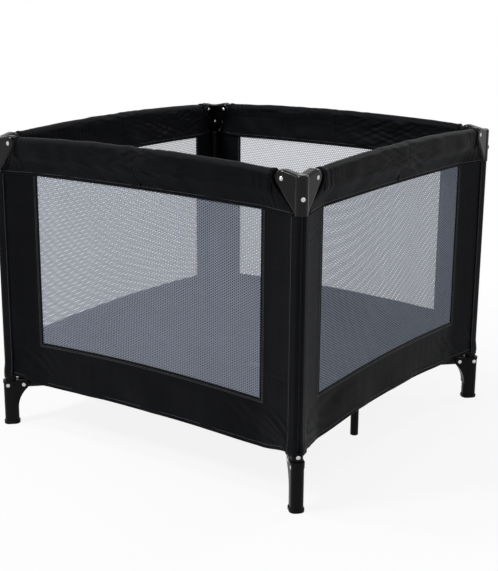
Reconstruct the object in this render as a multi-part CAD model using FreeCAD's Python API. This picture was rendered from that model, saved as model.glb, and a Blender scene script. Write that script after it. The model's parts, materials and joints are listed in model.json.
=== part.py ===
import FreeCAD, Part

import math
import os

# Folding square playpen: four posts, four rails that break in the middle, an X of base tubes
# that meet in a lifting hub, and cloth walls.  Millimetres, +Z up, origin on the ground in the
# middle of the square.  Each corner piece is made for the front left post and each side piece
# for the front side; the other three are the same piece turned by quarter turns about +Z.

# ---- overall sizes ---------------------------------------------------------------------------
HALF_SPAN = 450.0        # post axis from the middle, along both sides
RAIL_Z = 751.0           # axis of the rails above the ground
BASE_Z = 108.0           # axis of the base tubes above the ground

# ---- tubes -----------------------------------------------------------------------------------
POST_R = 11.0            # outer radius of a post
RAIL_R = 10.0            # outer radius of a rail
BASE_R = 10.0            # outer radius of a base tube and of a support arm
TUBE_WALL = 1.2          # steel wall of every tube
PAST_PIN = 9.0           # each hinged tube runs this far past its pin
POST_FLOOR = 22.0        # plastic under the post inside the foot

# ---- hinge places ----------------------------------------------------------------------------
EAR_REACH = 44.0         # rail pin from the post axis, along the side
LATCH_REACH = 22.0       # rail pin from the middle of the side
FOOT_REACH = 34.0        # base tube pin from the post axis, along the diagonal
ARM_REACH = 36.0         # support arm pin from the hub's middle
ARM_SIDE = 11.6          # each support arm lies this far to one side of the middle line

# ---- pins, rivets and fits -------------------------------------------------------------------
PIN_R = 3.0              # hinge pins
SCREW_R = 2.5            # rivets that hold a moulding on its tube
HEAD_R = 5.0             # rivet head
HEAD_RISE = 1.6          # dome of a rivet head
SEAT_FIT = 0.02          # radial gap of a rivet in what it holds
RUN_FIT = 0.05           # radial gap of a tube that turns on its pin
OPEN_FIT = 0.5           # radial gap at the pin that closes the loop of each side
TUBE_FIT = 0.15          # radial gap of a tube in a moulded socket
SIDE_FIT = 0.3           # gap on each side of a tube between two ears
SWING_FIT = 0.4          # gap round the end of a tube as it swings
EAR_WALL = 3.0           # thickness of one ear

# ---- corner cap ------------------------------------------------------------------------------
CAP_LOBE_R = 19.0        # round lobe over the rail pin
CAP_DROP = 76.0          # tip of the cap below the rail axis
CAP_TIP_HALF = 9.0       # half the width of the cap at its tip
CAP_CORE_R = 15.6        # round middle of the cap, over the post
CAP_VALLEY = 10.0        # dip between the lobes above the rail axis
CAP_RIVET_DROP = 39.0    # lower rivet below the rail axis
CAP_EDGE = 7.0           # rounding of the outer edges
CAP_CROWN = 7.0          # rounding of the crown over the post
POST_TOP_DROP = 2.0      # top of the post below the rail axis
BOSS_R = 6.0             # flat seat of a rivet on a round wall
BOSS_RISE = 0.9          # height of that seat

# ---- foot ------------------------------------------------------------------------------------
FOOT_DEPTH = 37.0        # along the diagonal
FOOT_WIDTH = 31.0        # across the diagonal
FOOT_CORNER = 12.0       # corner radius of the foot's section
LIP_RISE = 9.0           # height of the flange on the ground
LIP_OUT = 2.4            # how far the flange stands out
RIM_LOW = 113.6          # lower edge of the rim under the cloth
RIM_RISE = 6.6           # height of the rim
RIM_OUT = 1.4            # how far the rim stands out
NECK_R = 14.2            # round neck inside the cloth
NECK_TOP = 143.0         # top of the neck
NECK_RIVET_Z = 132.0     # rivet through neck and post
GUSSET_LOW = 43.0        # where the gusset starts to leave the leg
EAR_END_R = 13.0         # round end of the foot's ears
CROSS_RIVET_BACK = 7.0   # rivet across foot and post, behind the post axis

# ---- hub and middle legs ---------------------------------------------------------------------
HUB_PLATE = 3.5          # top plate
HUB_RIM = 8.7            # plate past the base tube pins
HUB_CORE_R = 17.0        # post under the plate
HUB_EAR_HALF = 8.0       # half the length of an ear
HUB_EAR_DROP = 9.0       # ears below the pins
LEG_REACH = 332.0        # middle leg from the hub's middle
LEG_R = 10.5             # middle leg
LEG_EDGE = 2.0           # rounding of its end
HEAD_WALL = 1.85         # plastic round the arm in the leg's head
LEG_HEAD_HALF = 16.0     # half the length of that head
ARM_SET = 8.0            # arm past the leg axis

# ---- rail latch ------------------------------------------------------------------------------
LATCH_PAST = 15.0        # housing past its pins
LATCH_WALL = 2.6         # cheeks
LATCH_FLOOR = 3.0        # bottom
LATCH_RISE = 16.0        # cheeks above the rail axis
BUTTON_LENGTH = 12.0     # along the rail
BUTTON_WIDTH = 14.0      # across the rail
BUTTON_OUT = 5.0         # stands out under the housing
BUTTON_IN = 9.0          # guided inside the housing
BUTTON_TRAVEL = 4.0      # how far it is pressed
BUTTON_EDGE = 1.5        # rounding of its face

# ---- cloth -----------------------------------------------------------------------------------
SOFT_GAP = 0.3           # gap between a cloth piece and its neighbours
COVER_HALF = 15.6        # half the thickness of the padded rail cover
COVER_RISE = 19.0        # top of the cover above the rail axis
COVER_DROP = 78.0        # bottom of the cover below the rail axis
COVER_GAP = 3.0          # end of the cover past the cap's lobe
COVER_ROUND = 11.0       # rounding of its top edges
WALL_INSET = 17.0        # inner face of the wall cloth, inside the post axis
WALL_THICK = 2.0         # wall cloth
WALL_OUT = 14.0          # inner face of the wall cloth past the post axis, at the corner
WALL_END = 4.0           # end of the wall cloth short of the post axis
WINDOW_INSET = 110.0     # edge of the mesh window from the post axis
WINDOW_LOW = 245.0       # lower edge of the mesh window
HEM_LOW = 125.0          # lower edge of the wall cloth
MESH_THICK = 1.2         # mesh
FLOOR_THICK = 5.0        # padded floor
STRAP_WIDTH = 25.0       # pull strap
STRAP_THICK = 2.0        # its webbing
STRAP_LENGTH = 90.0      # the part that lies on the floor
STRAP_SLIT = 1.5         # gap round the strap in the floor

# ---- sizes that follow from those ------------------------------------------------------------
ROOT2 = math.sqrt(2.0)
RAIL_SLOT = RAIL_R + SIDE_FIT
BASE_SLOT = BASE_R + SIDE_FIT
CAP_HALF = RAIL_SLOT + EAR_WALL
FOOT_EAR_HALF = BASE_SLOT + EAR_WALL
# A rail half and a base tube turn through the same angle because their lengths between
# pins stand as one to the square root of two, which fixes the hub's pin circle.
HUB_REACH = ROOT2 * (EAR_REACH + LATCH_REACH) - FOOT_REACH
RAIL_SWING = math.hypot(RAIL_R, PAST_PIN) + SWING_FIT
BASE_SWING = math.hypot(BASE_R, PAST_PIN) + SWING_FIT
HUB_TOP = BASE_Z + BASE_SWING + HUB_PLATE
FLOOR_LOW = HUB_TOP + SOFT_GAP
FLOOR_TOP = FLOOR_LOW + FLOOR_THICK
COVER_START = EAR_REACH + CAP_LOBE_R + COVER_GAP
WALL_TOP = RAIL_Z - COVER_DROP
WALL_FACE = HALF_SPAN - WALL_INSET
LATCH_LOW = RAIL_Z - RAIL_SWING - LATCH_FLOOR
LATCH_HALF = RAIL_SLOT + LATCH_WALL
POST_TOP = RAIL_Z - POST_TOP_DROP

CORNERS = ("front_left", "front_right", "rear_right", "rear_left")
SIDES = ("front", "right", "rear", "left")
UP = FreeCAD.Vector(0, 0, 1)
ALONG = FreeCAD.Vector(1, 0, 0)
ACROSS = FreeCAD.Vector(0, 1, 0)
ORIGIN = FreeCAD.Vector(0, 0, 0)


def point(x, y, z):
    return FreeCAD.Vector(x, y, z)


def box(low_x, high_x, low_y, high_y, low_z, high_z):
    """A box between two corners."""
    size = (high_x - low_x, high_y - low_y, high_z - low_z)
    return Part.makeBox(*size, point(low_x, low_y, low_z))


def turned(shape, degrees, about=ORIGIN, axis=UP):
    """A copy of the shape turned about an axis."""
    copy = shape.copy()
    copy.rotate(about, axis, degrees)
    return copy


def moved(shape, x, y, z):
    """A copy of the shape moved."""
    copy = shape.copy()
    copy.translate(point(x, y, z))
    return copy


def on_front_left(shape):
    """Take a shape from the post's own axes to the front left corner."""
    return moved(shape, -HALF_SPAN, -HALF_SPAN, 0)


def on_diagonal(shape):
    """Take a shape whose +X looks at the hub from the post's axes to the front left corner."""
    return on_front_left(turned(shape, 45))


def tube(start, direction, length, outer_r, pin_axis, pins):
    """A steel tube with a cross hole for each (distance along the tube, hole radius)."""
    body = Part.makeCylinder(outer_r, length, start, direction)
    body = body.cut(Part.makeCylinder(outer_r - TUBE_WALL, length, start, direction))
    for distance, hole_r in pins:
        middle = start + direction * distance - pin_axis * (2 * outer_r)
        body = body.cut(Part.makeCylinder(hole_r, 4 * outer_r, middle, pin_axis))
    return body


def rivet(middle, axis, half_grip, shaft_r):
    """A rivet with a domed head on both ends: half its outline turned about its axis."""
    tip = half_grip + HEAD_RISE
    dome_r = (HEAD_R ** 2 + HEAD_RISE ** 2) / (2 * HEAD_RISE)
    lean = math.asin(HEAD_R / dome_r) / 2
    shoulder = (dome_r * math.sin(lean), tip - dome_r * (1 - math.cos(lean)))
    outline = [
        Part.Arc(point(0, 0, tip), point(shoulder[0], 0, shoulder[1]), point(HEAD_R, 0, half_grip)).toShape(),
        Part.makeLine(point(HEAD_R, 0, half_grip), point(shaft_r, 0, half_grip)),
        Part.makeLine(point(shaft_r, 0, half_grip), point(shaft_r, 0, -half_grip)),
        Part.makeLine(point(shaft_r, 0, -half_grip), point(HEAD_R, 0, -half_grip)),
        Part.Arc(
            point(HEAD_R, 0, -half_grip), point(shoulder[0], 0, -shoulder[1]), point(0, 0, -tip)
        ).toShape(),
        Part.makeLine(point(0, 0, -tip), point(0, 0, tip)),
    ]
    solid = Part.Face(Part.Wire(outline)).revolve(ORIGIN, UP, 360)
    solid.Placement = FreeCAD.Placement(middle, FreeCAD.Rotation(UP, axis))
    return solid


def pin_hole(middle, axis, half_length, radius):
    """The cutter for a hole centred on a point."""
    return Part.makeCylinder(radius, 2 * half_length, middle - axis * half_length, axis)


def rounded_block(depth, width, corner, low_z, high_z):
    """An upright block with a rounded rectangular section round the origin."""
    block = box(-depth / 2, depth / 2, -width / 2, width / 2, low_z, high_z)
    upright = [e for e in block.Edges if abs(e.tangentAt(e.FirstParameter).z) > 0.9]
    return block.makeFillet(corner, upright)


def round_off(solid, radius, wanted):
    """Round the edges whose middle point passes the test."""
    edges = [e for e in solid.Edges if wanted(e.valueAt((e.FirstParameter + e.LastParameter) / 2))]
    return solid.makeFillet(radius, edges)


# ---- posts -----------------------------------------------------------------------------------

def post_tube():
    """Upright tube from the foot's floor into the cap, drilled for its three rivets."""
    post = tube(point(0, 0, POST_FLOOR), UP, POST_TOP - POST_FLOOR, POST_R, ALONG, ())
    reach = 2 * POST_R
    drill = SCREW_R + SEAT_FIT
    post = post.cut(pin_hole(point(0, 0, NECK_RIVET_Z), ALONG, reach, drill))
    post = post.cut(pin_hole(point(0, 0, RAIL_Z - CAP_RIVET_DROP), ALONG, reach, drill))
    post = post.cut(pin_hole(point(-CROSS_RIVET_BACK, 0, BASE_Z), ACROSS, reach, drill))
    return on_diagonal(post)


def lobe_point(angle):
    """A point on the cap's lobe, by its angle in degrees from the side's direction."""
    turn = math.radians(angle)
    return point(EAR_REACH + CAP_LOBE_R * math.cos(turn), 0, RAIL_Z + CAP_LOBE_R * math.sin(turn))


def touch_angle(x, z, side):
    """Angle on the lobe where a straight line from (x, z) touches it, on one side."""
    dx = x - EAR_REACH
    dz = z - RAIL_Z
    return math.degrees(math.atan2(dz, dx) + side * math.acos(CAP_LOBE_R / math.hypot(dx, dz)))


def cap_wing():
    """One wing of the cap: a V from the tip to the lobe, hollowed from below for the rail."""
    tip_z = RAIL_Z - CAP_DROP
    valley_z = RAIL_Z + CAP_VALLEY
    low = touch_angle(CAP_TIP_HALF, tip_z, 1)
    high = touch_angle(0, valley_z, -1)
    outline = [
        Part.makeLine(point(0, 0, tip_z), point(CAP_TIP_HALF, 0, tip_z)),
        Part.makeLine(point(CAP_TIP_HALF, 0, tip_z), lobe_point(low)),
        Part.Arc(lobe_point(low), lobe_point((low + high) / 2), lobe_point(high)).toShape(),
        Part.makeLine(lobe_point(high), point(0, 0, valley_z)),
        Part.makeLine(point(0, 0, valley_z), point(0, 0, tip_z)),
    ]
    face = Part.Face(Part.Wire(outline))
    face.translate(point(0, -CAP_HALF, 0))
    wing = face.extrude(ACROSS * (2 * CAP_HALF))
    wing = round_off(wing, CAP_EDGE, lambda p: abs(p.y) > CAP_HALF - 0.1 and p.x > CAP_TIP_HALF / 2 + 0.1)
    slot = box(EAR_REACH - RAIL_SWING, EAR_REACH + 2 * CAP_LOBE_R, -RAIL_SLOT, RAIL_SLOT,
               tip_z - 1, RAIL_Z + RAIL_SWING)
    wing = wing.cut(slot)
    return wing.cut(pin_hole(point(EAR_REACH, 0, RAIL_Z), ACROSS, 2 * CAP_HALF, PIN_R + SEAT_FIT))


def corner_cap():
    """Moulded cap: two wings at a right angle on a round core over the top of the post."""
    tip_z = RAIL_Z - CAP_DROP
    core_top = RAIL_Z + CAP_VALLEY + 1.5
    core = Part.makeCylinder(CAP_CORE_R, core_top - tip_z, point(0, 0, tip_z))
    core = round_off(core, CAP_CROWN, lambda p: p.z > core_top - 0.1)
    wing = cap_wing()
    cap = core.fuse([wing, turned(wing, 90)])
    diagonal = point(1, 1, 0).normalize()
    rivet_place = point(0, 0, RAIL_Z - CAP_RIVET_DROP)
    seat = CAP_CORE_R + BOSS_RISE
    cap = cap.fuse(pin_hole(rivet_place, diagonal, seat, BOSS_R))
    for way in (-1, 1):
        spot = rivet_place + diagonal * (way * seat)
        cap = cap.cut(Part.makeCylinder(BOSS_R, CAP_CORE_R, spot, diagonal * way))
    socket = Part.makeCylinder(POST_R + TUBE_FIT, POST_TOP + TUBE_FIT - tip_z, point(0, 0, tip_z))
    cap = cap.cut(socket)
    cap = cap.cut(pin_hole(rivet_place, diagonal, 2 * CAP_CORE_R, SCREW_R + SEAT_FIT))
    return on_front_left(cap.removeSplitter())


def gusset():
    """The foot's web towards the hub: a hollow curve off the leg that runs into a round ear end."""
    leg_face = FOOT_DEPTH / 2
    rise = BASE_Z - GUSSET_LOW
    run = FOOT_REACH - leg_face
    sweep_r = (run ** 2 + rise ** 2 - EAR_END_R ** 2) / (2 * (run + EAR_END_R))
    sweep_x = leg_face + sweep_r
    meet = math.atan2(rise, FOOT_REACH - sweep_x)
    half = (meet + math.pi) / 2

    def on_sweep(angle):
        return point(sweep_x + sweep_r * math.cos(angle), 0, GUSSET_LOW + sweep_r * math.sin(angle))

    ear_low = math.atan2(-rise, sweep_x - FOOT_REACH)
    ear_mid = (ear_low + math.pi / 2) / 2
    ear_side = point(FOOT_REACH + EAR_END_R * math.cos(ear_mid), 0, BASE_Z + EAR_END_R * math.sin(ear_mid))
    ear_top = point(FOOT_REACH, 0, BASE_Z + EAR_END_R)
    outline = [
        Part.makeLine(point(0, 0, GUSSET_LOW), point(leg_face, 0, GUSSET_LOW)),
        Part.Arc(point(leg_face, 0, GUSSET_LOW), on_sweep(half), on_sweep(meet)).toShape(),
        Part.Arc(on_sweep(meet), ear_side, ear_top).toShape(),
        Part.makeLine(ear_top, point(0, 0, BASE_Z + EAR_END_R)),
        Part.makeLine(point(0, 0, BASE_Z + EAR_END_R), point(0, 0, GUSSET_LOW)),
    ]
    face = Part.Face(Part.Wire(outline))
    face.translate(point(0, -FOOT_EAR_HALF, 0))
    return face.extrude(ACROSS * (2 * FOOT_EAR_HALF))


def foot():
    """Moulded foot: leg with a flange, rim, neck in the cloth, and two ears for the base tube."""
    leg = rounded_block(FOOT_DEPTH, FOOT_WIDTH, FOOT_CORNER, 0, RIM_LOW)
    lip_depth = FOOT_DEPTH + 2 * LIP_OUT
    lip_width = FOOT_WIDTH + 2 * LIP_OUT
    lip = rounded_block(lip_depth, lip_width, FOOT_CORNER + LIP_OUT, 0, LIP_RISE)
    lip = round_off(lip, LIP_OUT, lambda p: p.z > LIP_RISE - 0.1)
    lip = round_off(lip, LIP_OUT / 2, lambda p: p.z < 0.1)
    rim = rounded_block(FOOT_DEPTH + 2 * RIM_OUT, FOOT_WIDTH + 2 * RIM_OUT, FOOT_CORNER + RIM_OUT,
                        RIM_LOW, RIM_LOW + RIM_RISE)
    rim = round_off(rim, RIM_OUT, lambda p: p.z > RIM_LOW + RIM_RISE - 0.1)
    neck = Part.makeCylinder(NECK_R, NECK_TOP - RIM_LOW, point(0, 0, RIM_LOW))
    seat = pin_hole(point(0, 0, NECK_RIVET_Z), ALONG, NECK_R + BOSS_RISE, BOSS_R)
    body = leg.fuse([lip, rim, neck, seat, gusset()])
    high = NECK_TOP + 1
    reach = FOOT_REACH + 2 * EAR_END_R
    body = body.cut(box(FOOT_REACH - BASE_SWING, reach, -BASE_SLOT, BASE_SLOT, BASE_Z - BASE_SWING, high))
    body = body.cut(Part.makeCylinder(POST_R + TUBE_FIT, high - POST_FLOOR, point(0, 0, POST_FLOOR)))
    across = FOOT_WIDTH
    body = body.cut(pin_hole(point(FOOT_REACH, 0, BASE_Z), ACROSS, across, PIN_R + SEAT_FIT))
    body = body.cut(pin_hole(point(-CROSS_RIVET_BACK, 0, BASE_Z), ACROSS, across, SCREW_R + SEAT_FIT))
    body = body.cut(pin_hole(point(0, 0, NECK_RIVET_Z), ALONG, 2 * NECK_R, SCREW_R + SEAT_FIT))
    return on_diagonal(body.removeSplitter())


def corner_rivets():
    """The rivets of one corner: two rail pins, the base tube pin and three that hold the post."""
    rail_pin = rivet(point(EAR_REACH, 0, RAIL_Z), ACROSS, CAP_HALF, PIN_R)
    rail_pins = [on_front_left(rail_pin), on_front_left(turned(rail_pin, 90))]
    others = [
        rivet(point(FOOT_REACH, 0, BASE_Z), ACROSS, FOOT_EAR_HALF, PIN_R),
        rivet(point(-CROSS_RIVET_BACK, 0, BASE_Z), ACROSS, FOOT_WIDTH / 2, SCREW_R),
        rivet(point(0, 0, NECK_RIVET_Z), ALONG, NECK_R + BOSS_RISE, SCREW_R),
        rivet(point(0, 0, RAIL_Z - CAP_RIVET_DROP), ALONG, CAP_CORE_R + BOSS_RISE, SCREW_R),
    ]
    return Part.makeCompound(rail_pins + [on_diagonal(one) for one in others])


# ---- base ------------------------------------------------------------------------------------

def base_tube():
    """Tube from the foot's ears to the hub's ears, along the diagonal."""
    run = ROOT2 * HALF_SPAN - FOOT_REACH - HUB_REACH
    start = point(FOOT_REACH - PAST_PIN, 0, BASE_Z)
    hole = PIN_R + RUN_FIT
    pins = ((PAST_PIN, hole), (PAST_PIN + run, hole))
    return on_diagonal(tube(start, ALONG, run + 2 * PAST_PIN, BASE_R, ACROSS, pins))


def hub_ears(reach, offset):
    """Two ears under the hub's plate, either side of a tube that leaves along +X."""
    ears = []
    for side in (-1, 1):
        inner = offset + side * BASE_SLOT
        outer = inner + side * EAR_WALL
        ears.append(box(reach - HUB_EAR_HALF, reach + HUB_EAR_HALF, min(inner, outer), max(inner, outer),
                        BASE_Z - HUB_EAR_DROP, HUB_TOP - HUB_PLATE))
    return ears


def hub_places():
    """Each tube at the hub: its direction in degrees, its pin's reach and its sideways place."""
    diagonals = [(45 + 90 * quarter, HUB_REACH, 0) for quarter in range(4)]
    return diagonals + [(0, ARM_REACH, ARM_SIDE), (180, ARM_REACH, ARM_SIDE)]


def hub_body():
    """Moulded hub: a round plate over all tube ends, with a core and ears under it."""
    plate = Part.makeCylinder(HUB_REACH + HUB_RIM, HUB_PLATE, point(0, 0, HUB_TOP - HUB_PLATE))
    plate = round_off(plate, HUB_PLATE / 2, lambda p: p.z > HUB_TOP - 0.1)
    core_low = BASE_Z - HUB_EAR_DROP
    core = Part.makeCylinder(HUB_CORE_R, HUB_TOP - HUB_PLATE - core_low, point(0, 0, core_low))
    parts = [core]
    for degrees, reach, offset in hub_places():
        parts += [turned(ear, degrees) for ear in hub_ears(reach, offset)]
    hub = plate.fuse(parts)
    for degrees, reach, offset in hub_places():
        hole = pin_hole(point(reach, offset, BASE_Z), ACROSS, BASE_SLOT + EAR_WALL + 0.5, PIN_R + SEAT_FIT)
        hub = hub.cut(turned(hole, degrees))
    return hub.removeSplitter()


def hub_rivets():
    """Six hinge rivets through the hub's ears."""
    rivets = []
    for degrees, reach, offset in hub_places():
        pin = rivet(point(reach, offset, BASE_Z), ACROSS, BASE_SLOT + EAR_WALL, PIN_R)
        rivets.append(turned(pin, degrees))
    return Part.makeCompound(rivets)


def support_arm():
    """Tube from the hub out to a middle leg on the right."""
    start = point(ARM_REACH - PAST_PIN, ARM_SIDE, BASE_Z)
    length = LEG_REACH + ARM_SET - start.x
    return tube(start, ALONG, length, BASE_R, ACROSS, ((PAST_PIN, PIN_R + RUN_FIT),))


def support_leg():
    """Moulded middle leg with a head that holds the arm's end."""
    leg = Part.makeCylinder(LEG_R, BASE_Z, point(LEG_REACH, ARM_SIDE, 0))
    leg = round_off(leg, LEG_EDGE, lambda p: p.z < 0.1)
    socket_r = BASE_R + TUBE_FIT
    low_x = LEG_REACH - LEG_HEAD_HALF
    head = Part.makeCylinder(socket_r + HEAD_WALL, 2 * LEG_HEAD_HALF, point(low_x, ARM_SIDE, BASE_Z), ALONG)
    bore_length = LEG_HEAD_HALF + ARM_SET + TUBE_FIT
    bore = Part.makeCylinder(socket_r, bore_length, point(low_x, ARM_SIDE, BASE_Z), ALONG)
    return leg.fuse(head).cut(bore).removeSplitter()


def pull_strap():
    """Webbing tab that comes up through the floor from the hub and lies on the floor."""
    half = STRAP_WIDTH / 2
    lie_low = FLOOR_TOP + SOFT_GAP
    upright = box(0, STRAP_THICK, -half, half, HUB_TOP, lie_low + STRAP_THICK)
    lying = box(0, STRAP_LENGTH, -half, half, lie_low, lie_low + STRAP_THICK)
    return upright.fuse(lying).removeSplitter()


def floor_pad():
    """Padded floor between the walls, over the base, with a slit for the strap."""
    half = WALL_FACE - SOFT_GAP
    pad = box(-half, half, -half, half, FLOOR_LOW, FLOOR_TOP)
    half_slit = STRAP_WIDTH / 2 + STRAP_SLIT
    slit_end = STRAP_THICK + STRAP_SLIT
    slit = box(-STRAP_SLIT, slit_end, -half_slit, half_slit, FLOOR_LOW - 1, FLOOR_TOP + 1)
    return pad.cut(slit)


# ---- sides -----------------------------------------------------------------------------------

def rail_tube(latch_fit):
    """Left half of the front rail, from the cap's ear into the latch housing."""
    run = HALF_SPAN - EAR_REACH - LATCH_REACH
    start = point(-HALF_SPAN + EAR_REACH - PAST_PIN, -HALF_SPAN, RAIL_Z)
    pins = ((PAST_PIN, PIN_R + RUN_FIT), (PAST_PIN + run, PIN_R + latch_fit))
    return tube(start, ALONG, run + 2 * PAST_PIN, RAIL_R, ACROSS, pins)


def mirrored(shape):
    """The same piece for the other half of the side."""
    return shape.mirror(ORIGIN, ALONG)


def rail_cover():
    """Padded cloth over the left half of the front rail, hollowed for the tube and the latch."""
    low_x = -HALF_SPAN + COVER_START
    high_x = -SOFT_GAP / 2
    low_z = WALL_TOP + SOFT_GAP
    high_z = RAIL_Z + COVER_RISE
    cover = box(low_x, high_x, -COVER_HALF, COVER_HALF, low_z, high_z)
    cover = round_off(cover, COVER_ROUND, lambda p: p.z > high_z - 0.1 and abs(p.y) > COVER_HALF - 0.1)
    tunnel = Part.makeCylinder(RAIL_R + SOFT_GAP, high_x - low_x, point(low_x, 0, RAIL_Z), ALONG)
    latch_end = -LATCH_REACH - LATCH_PAST - SOFT_GAP
    pocket_half = LATCH_HALF + SOFT_GAP
    pocket = box(latch_end, 0, -pocket_half, pocket_half, LATCH_LOW - BUTTON_OUT - SOFT_GAP,
                 RAIL_Z + LATCH_RISE + SOFT_GAP)
    return moved(cover.cut([tunnel, pocket]), 0, -HALF_SPAN, 0)


def latch_housing():
    """Moulded channel in the middle of a rail, with cross pins for both halves, open at the top."""
    half_length = LATCH_REACH + LATCH_PAST
    shell = box(-half_length, half_length, -LATCH_HALF, LATCH_HALF, LATCH_LOW, RAIL_Z + LATCH_RISE)
    shell = round_off(shell, LATCH_WALL - 0.6,
                      lambda p: p.z < LATCH_LOW + 0.1 and abs(p.y) > LATCH_HALF - 0.1)
    block_half = LATCH_REACH - RAIL_SWING
    for side in (-1, 1):
        inner = side * block_half
        outer = side * (half_length + 1)
        shell = shell.cut(box(min(inner, outer), max(inner, outer), -RAIL_SLOT, RAIL_SLOT,
                              RAIL_Z - RAIL_SWING, RAIL_Z + LATCH_RISE + 1))
    guide_x = BUTTON_LENGTH / 2 + SIDE_FIT
    guide_y = BUTTON_WIDTH / 2 + SIDE_FIT
    guide_top = LATCH_LOW + BUTTON_IN + BUTTON_TRAVEL + SIDE_FIT
    shell = shell.cut(box(-guide_x, guide_x, -guide_y, guide_y, LATCH_LOW - 1, guide_top))
    pins = [pin_hole(point(side * LATCH_REACH, 0, RAIL_Z), ACROSS, LATCH_HALF, PIN_R) for side in (-1, 1)]
    return moved(shell.fuse(pins).removeSplitter(), 0, -HALF_SPAN, 0)


def latch_button():
    """Release button under the housing."""
    low_z = LATCH_LOW - BUTTON_OUT
    button = box(-BUTTON_LENGTH / 2, BUTTON_LENGTH / 2, -BUTTON_WIDTH / 2, BUTTON_WIDTH / 2,
                 low_z, LATCH_LOW + BUTTON_IN)
    button = round_off(button, BUTTON_EDGE, lambda p: p.z < low_z + 0.1)
    return moved(button, 0, -HALF_SPAN, 0)


def wall_cloth():
    """Front wall cloth: a hem band and two corner panels that lead outwards round the posts."""
    window = HALF_SPAN - WINDOW_INSET
    end_x = HALF_SPAN - WALL_END
    inner = [(0, WALL_FACE), (window, WALL_FACE), (end_x, HALF_SPAN + WALL_OUT)]
    outer = [(x, y + WALL_THICK) for x, y in reversed(inner)]
    half = [point(x, -y, HEM_LOW) for x, y in inner + outer]
    face = Part.Face(Part.makePolygon(half + half[:1]))
    right = face.extrude(UP * (WALL_TOP - HEM_LOW))
    cloth = right.fuse(mirrored(right))
    cut = box(-window, window, -HALF_SPAN - WALL_OUT, -WALL_FACE + 1, WINDOW_LOW, WALL_TOP + 1)
    return cloth.cut(cut).removeSplitter()


def mesh_panel():
    """Front mesh, sewn in the window of the wall cloth."""
    half = HALF_SPAN - WINDOW_INSET - SOFT_GAP
    low_y = -WALL_FACE - (WALL_THICK + MESH_THICK) / 2
    return box(-half, half, low_y, low_y + MESH_THICK, WINDOW_LOW + SOFT_GAP, WALL_TOP)


# ---- all pieces ------------------------------------------------------------------------------

def around(name, names, shape):
    """The same piece at each of the four quarter turns."""
    return {name + "_" + place: turned(shape, 90 * quarter) for quarter, place in enumerate(names)}


def all_pieces():
    """Every node with its shape."""
    pieces = {}
    pieces.update(around("post_tube", CORNERS, post_tube()))
    pieces.update(around("corner_cap", CORNERS, corner_cap()))
    pieces.update(around("foot", CORNERS, foot()))
    pieces.update(around("corner_rivets", CORNERS, corner_rivets()))
    pieces.update(around("base_tube", CORNERS, base_tube()))
    pieces.update(around("rail_tube_l", SIDES, rail_tube(RUN_FIT)))
    pieces.update(around("rail_tube_r", SIDES, mirrored(rail_tube(OPEN_FIT))))
    pieces.update(around("rail_cover_l", SIDES, rail_cover()))
    pieces.update(around("rail_cover_r", SIDES, mirrored(rail_cover())))
    pieces.update(around("latch_housing", SIDES, latch_housing()))
    pieces.update(around("latch_button", SIDES, latch_button()))
    pieces.update(around("wall_cloth", SIDES, wall_cloth()))
    pieces.update(around("mesh_panel", SIDES, mesh_panel()))
    pieces["hub_body"] = hub_body()
    pieces["hub_rivets"] = hub_rivets()
    pieces["pull_strap"] = pull_strap()
    pieces["floor_pad"] = floor_pad()
    for side, degrees in (("right", 0), ("left", 180)):
        pieces["support_arm_" + side] = turned(support_arm(), degrees)
        pieces["support_leg_" + side] = turned(support_leg(), degrees)
    return pieces


os.makedirs("parts", exist_ok=True)
for node, shape in all_pieces().items():
    shape.exportStep("parts/" + node + ".step")
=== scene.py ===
import json
import math

import bpy
import bmesh
import numpy as np
from bpy.props import FloatProperty, FloatVectorProperty, PointerProperty
from mathutils import Matrix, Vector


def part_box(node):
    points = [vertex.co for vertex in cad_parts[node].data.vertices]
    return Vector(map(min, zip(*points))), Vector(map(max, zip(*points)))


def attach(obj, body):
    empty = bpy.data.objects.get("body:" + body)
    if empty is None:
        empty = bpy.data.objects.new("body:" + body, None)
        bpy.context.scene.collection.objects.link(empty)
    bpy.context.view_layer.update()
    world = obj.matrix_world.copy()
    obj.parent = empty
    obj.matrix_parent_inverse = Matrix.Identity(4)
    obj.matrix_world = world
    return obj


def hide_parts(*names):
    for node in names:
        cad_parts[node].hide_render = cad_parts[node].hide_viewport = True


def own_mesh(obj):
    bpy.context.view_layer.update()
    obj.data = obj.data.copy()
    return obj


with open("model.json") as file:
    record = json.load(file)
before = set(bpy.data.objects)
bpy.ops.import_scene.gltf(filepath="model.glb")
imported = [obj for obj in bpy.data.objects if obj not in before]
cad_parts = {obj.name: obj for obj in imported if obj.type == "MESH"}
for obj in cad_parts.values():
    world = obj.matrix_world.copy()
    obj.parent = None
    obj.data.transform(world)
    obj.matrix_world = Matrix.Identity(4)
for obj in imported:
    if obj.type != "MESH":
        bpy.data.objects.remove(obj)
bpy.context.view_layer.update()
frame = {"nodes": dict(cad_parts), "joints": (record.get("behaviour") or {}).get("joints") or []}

bl_info = {
    "name": "Folding playpen",
    "version": (1, 0, 0),
    "blender": (4, 5, 0),
    "location": "View3D > Sidebar > Playpen",
    "description": "Cloth, netting, padding and finishes of a square folding playpen, round its frame",
    "category": "Add Mesh",
}

# Each side is drawn as the front one, in its own three measures: s along the side from left to
# right as seen from outside, d outwards from the line between the two post axes, and z up.  The
# other three sides are the same drawing turned by quarter turns.
SIDES = ("front", "right", "rear", "left")
LEFT_POST = {"front": "front_left", "right": "front_right", "rear": "rear_right", "left": "rear_left"}
RIGHT_POST = {"front": "front_right", "right": "rear_right", "rear": "rear_left", "left": "front_left"}
CORNERS = ("front_left", "front_right", "rear_right", "rear_left")
FOLD = "base_fold"
JOINTS = {joint["name"]: joint for joint in frame["joints"]}


def middle_of(node):
    """The middle of a node's box."""
    low, high = np.array(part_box(node))
    return (low + high) / 2


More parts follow.
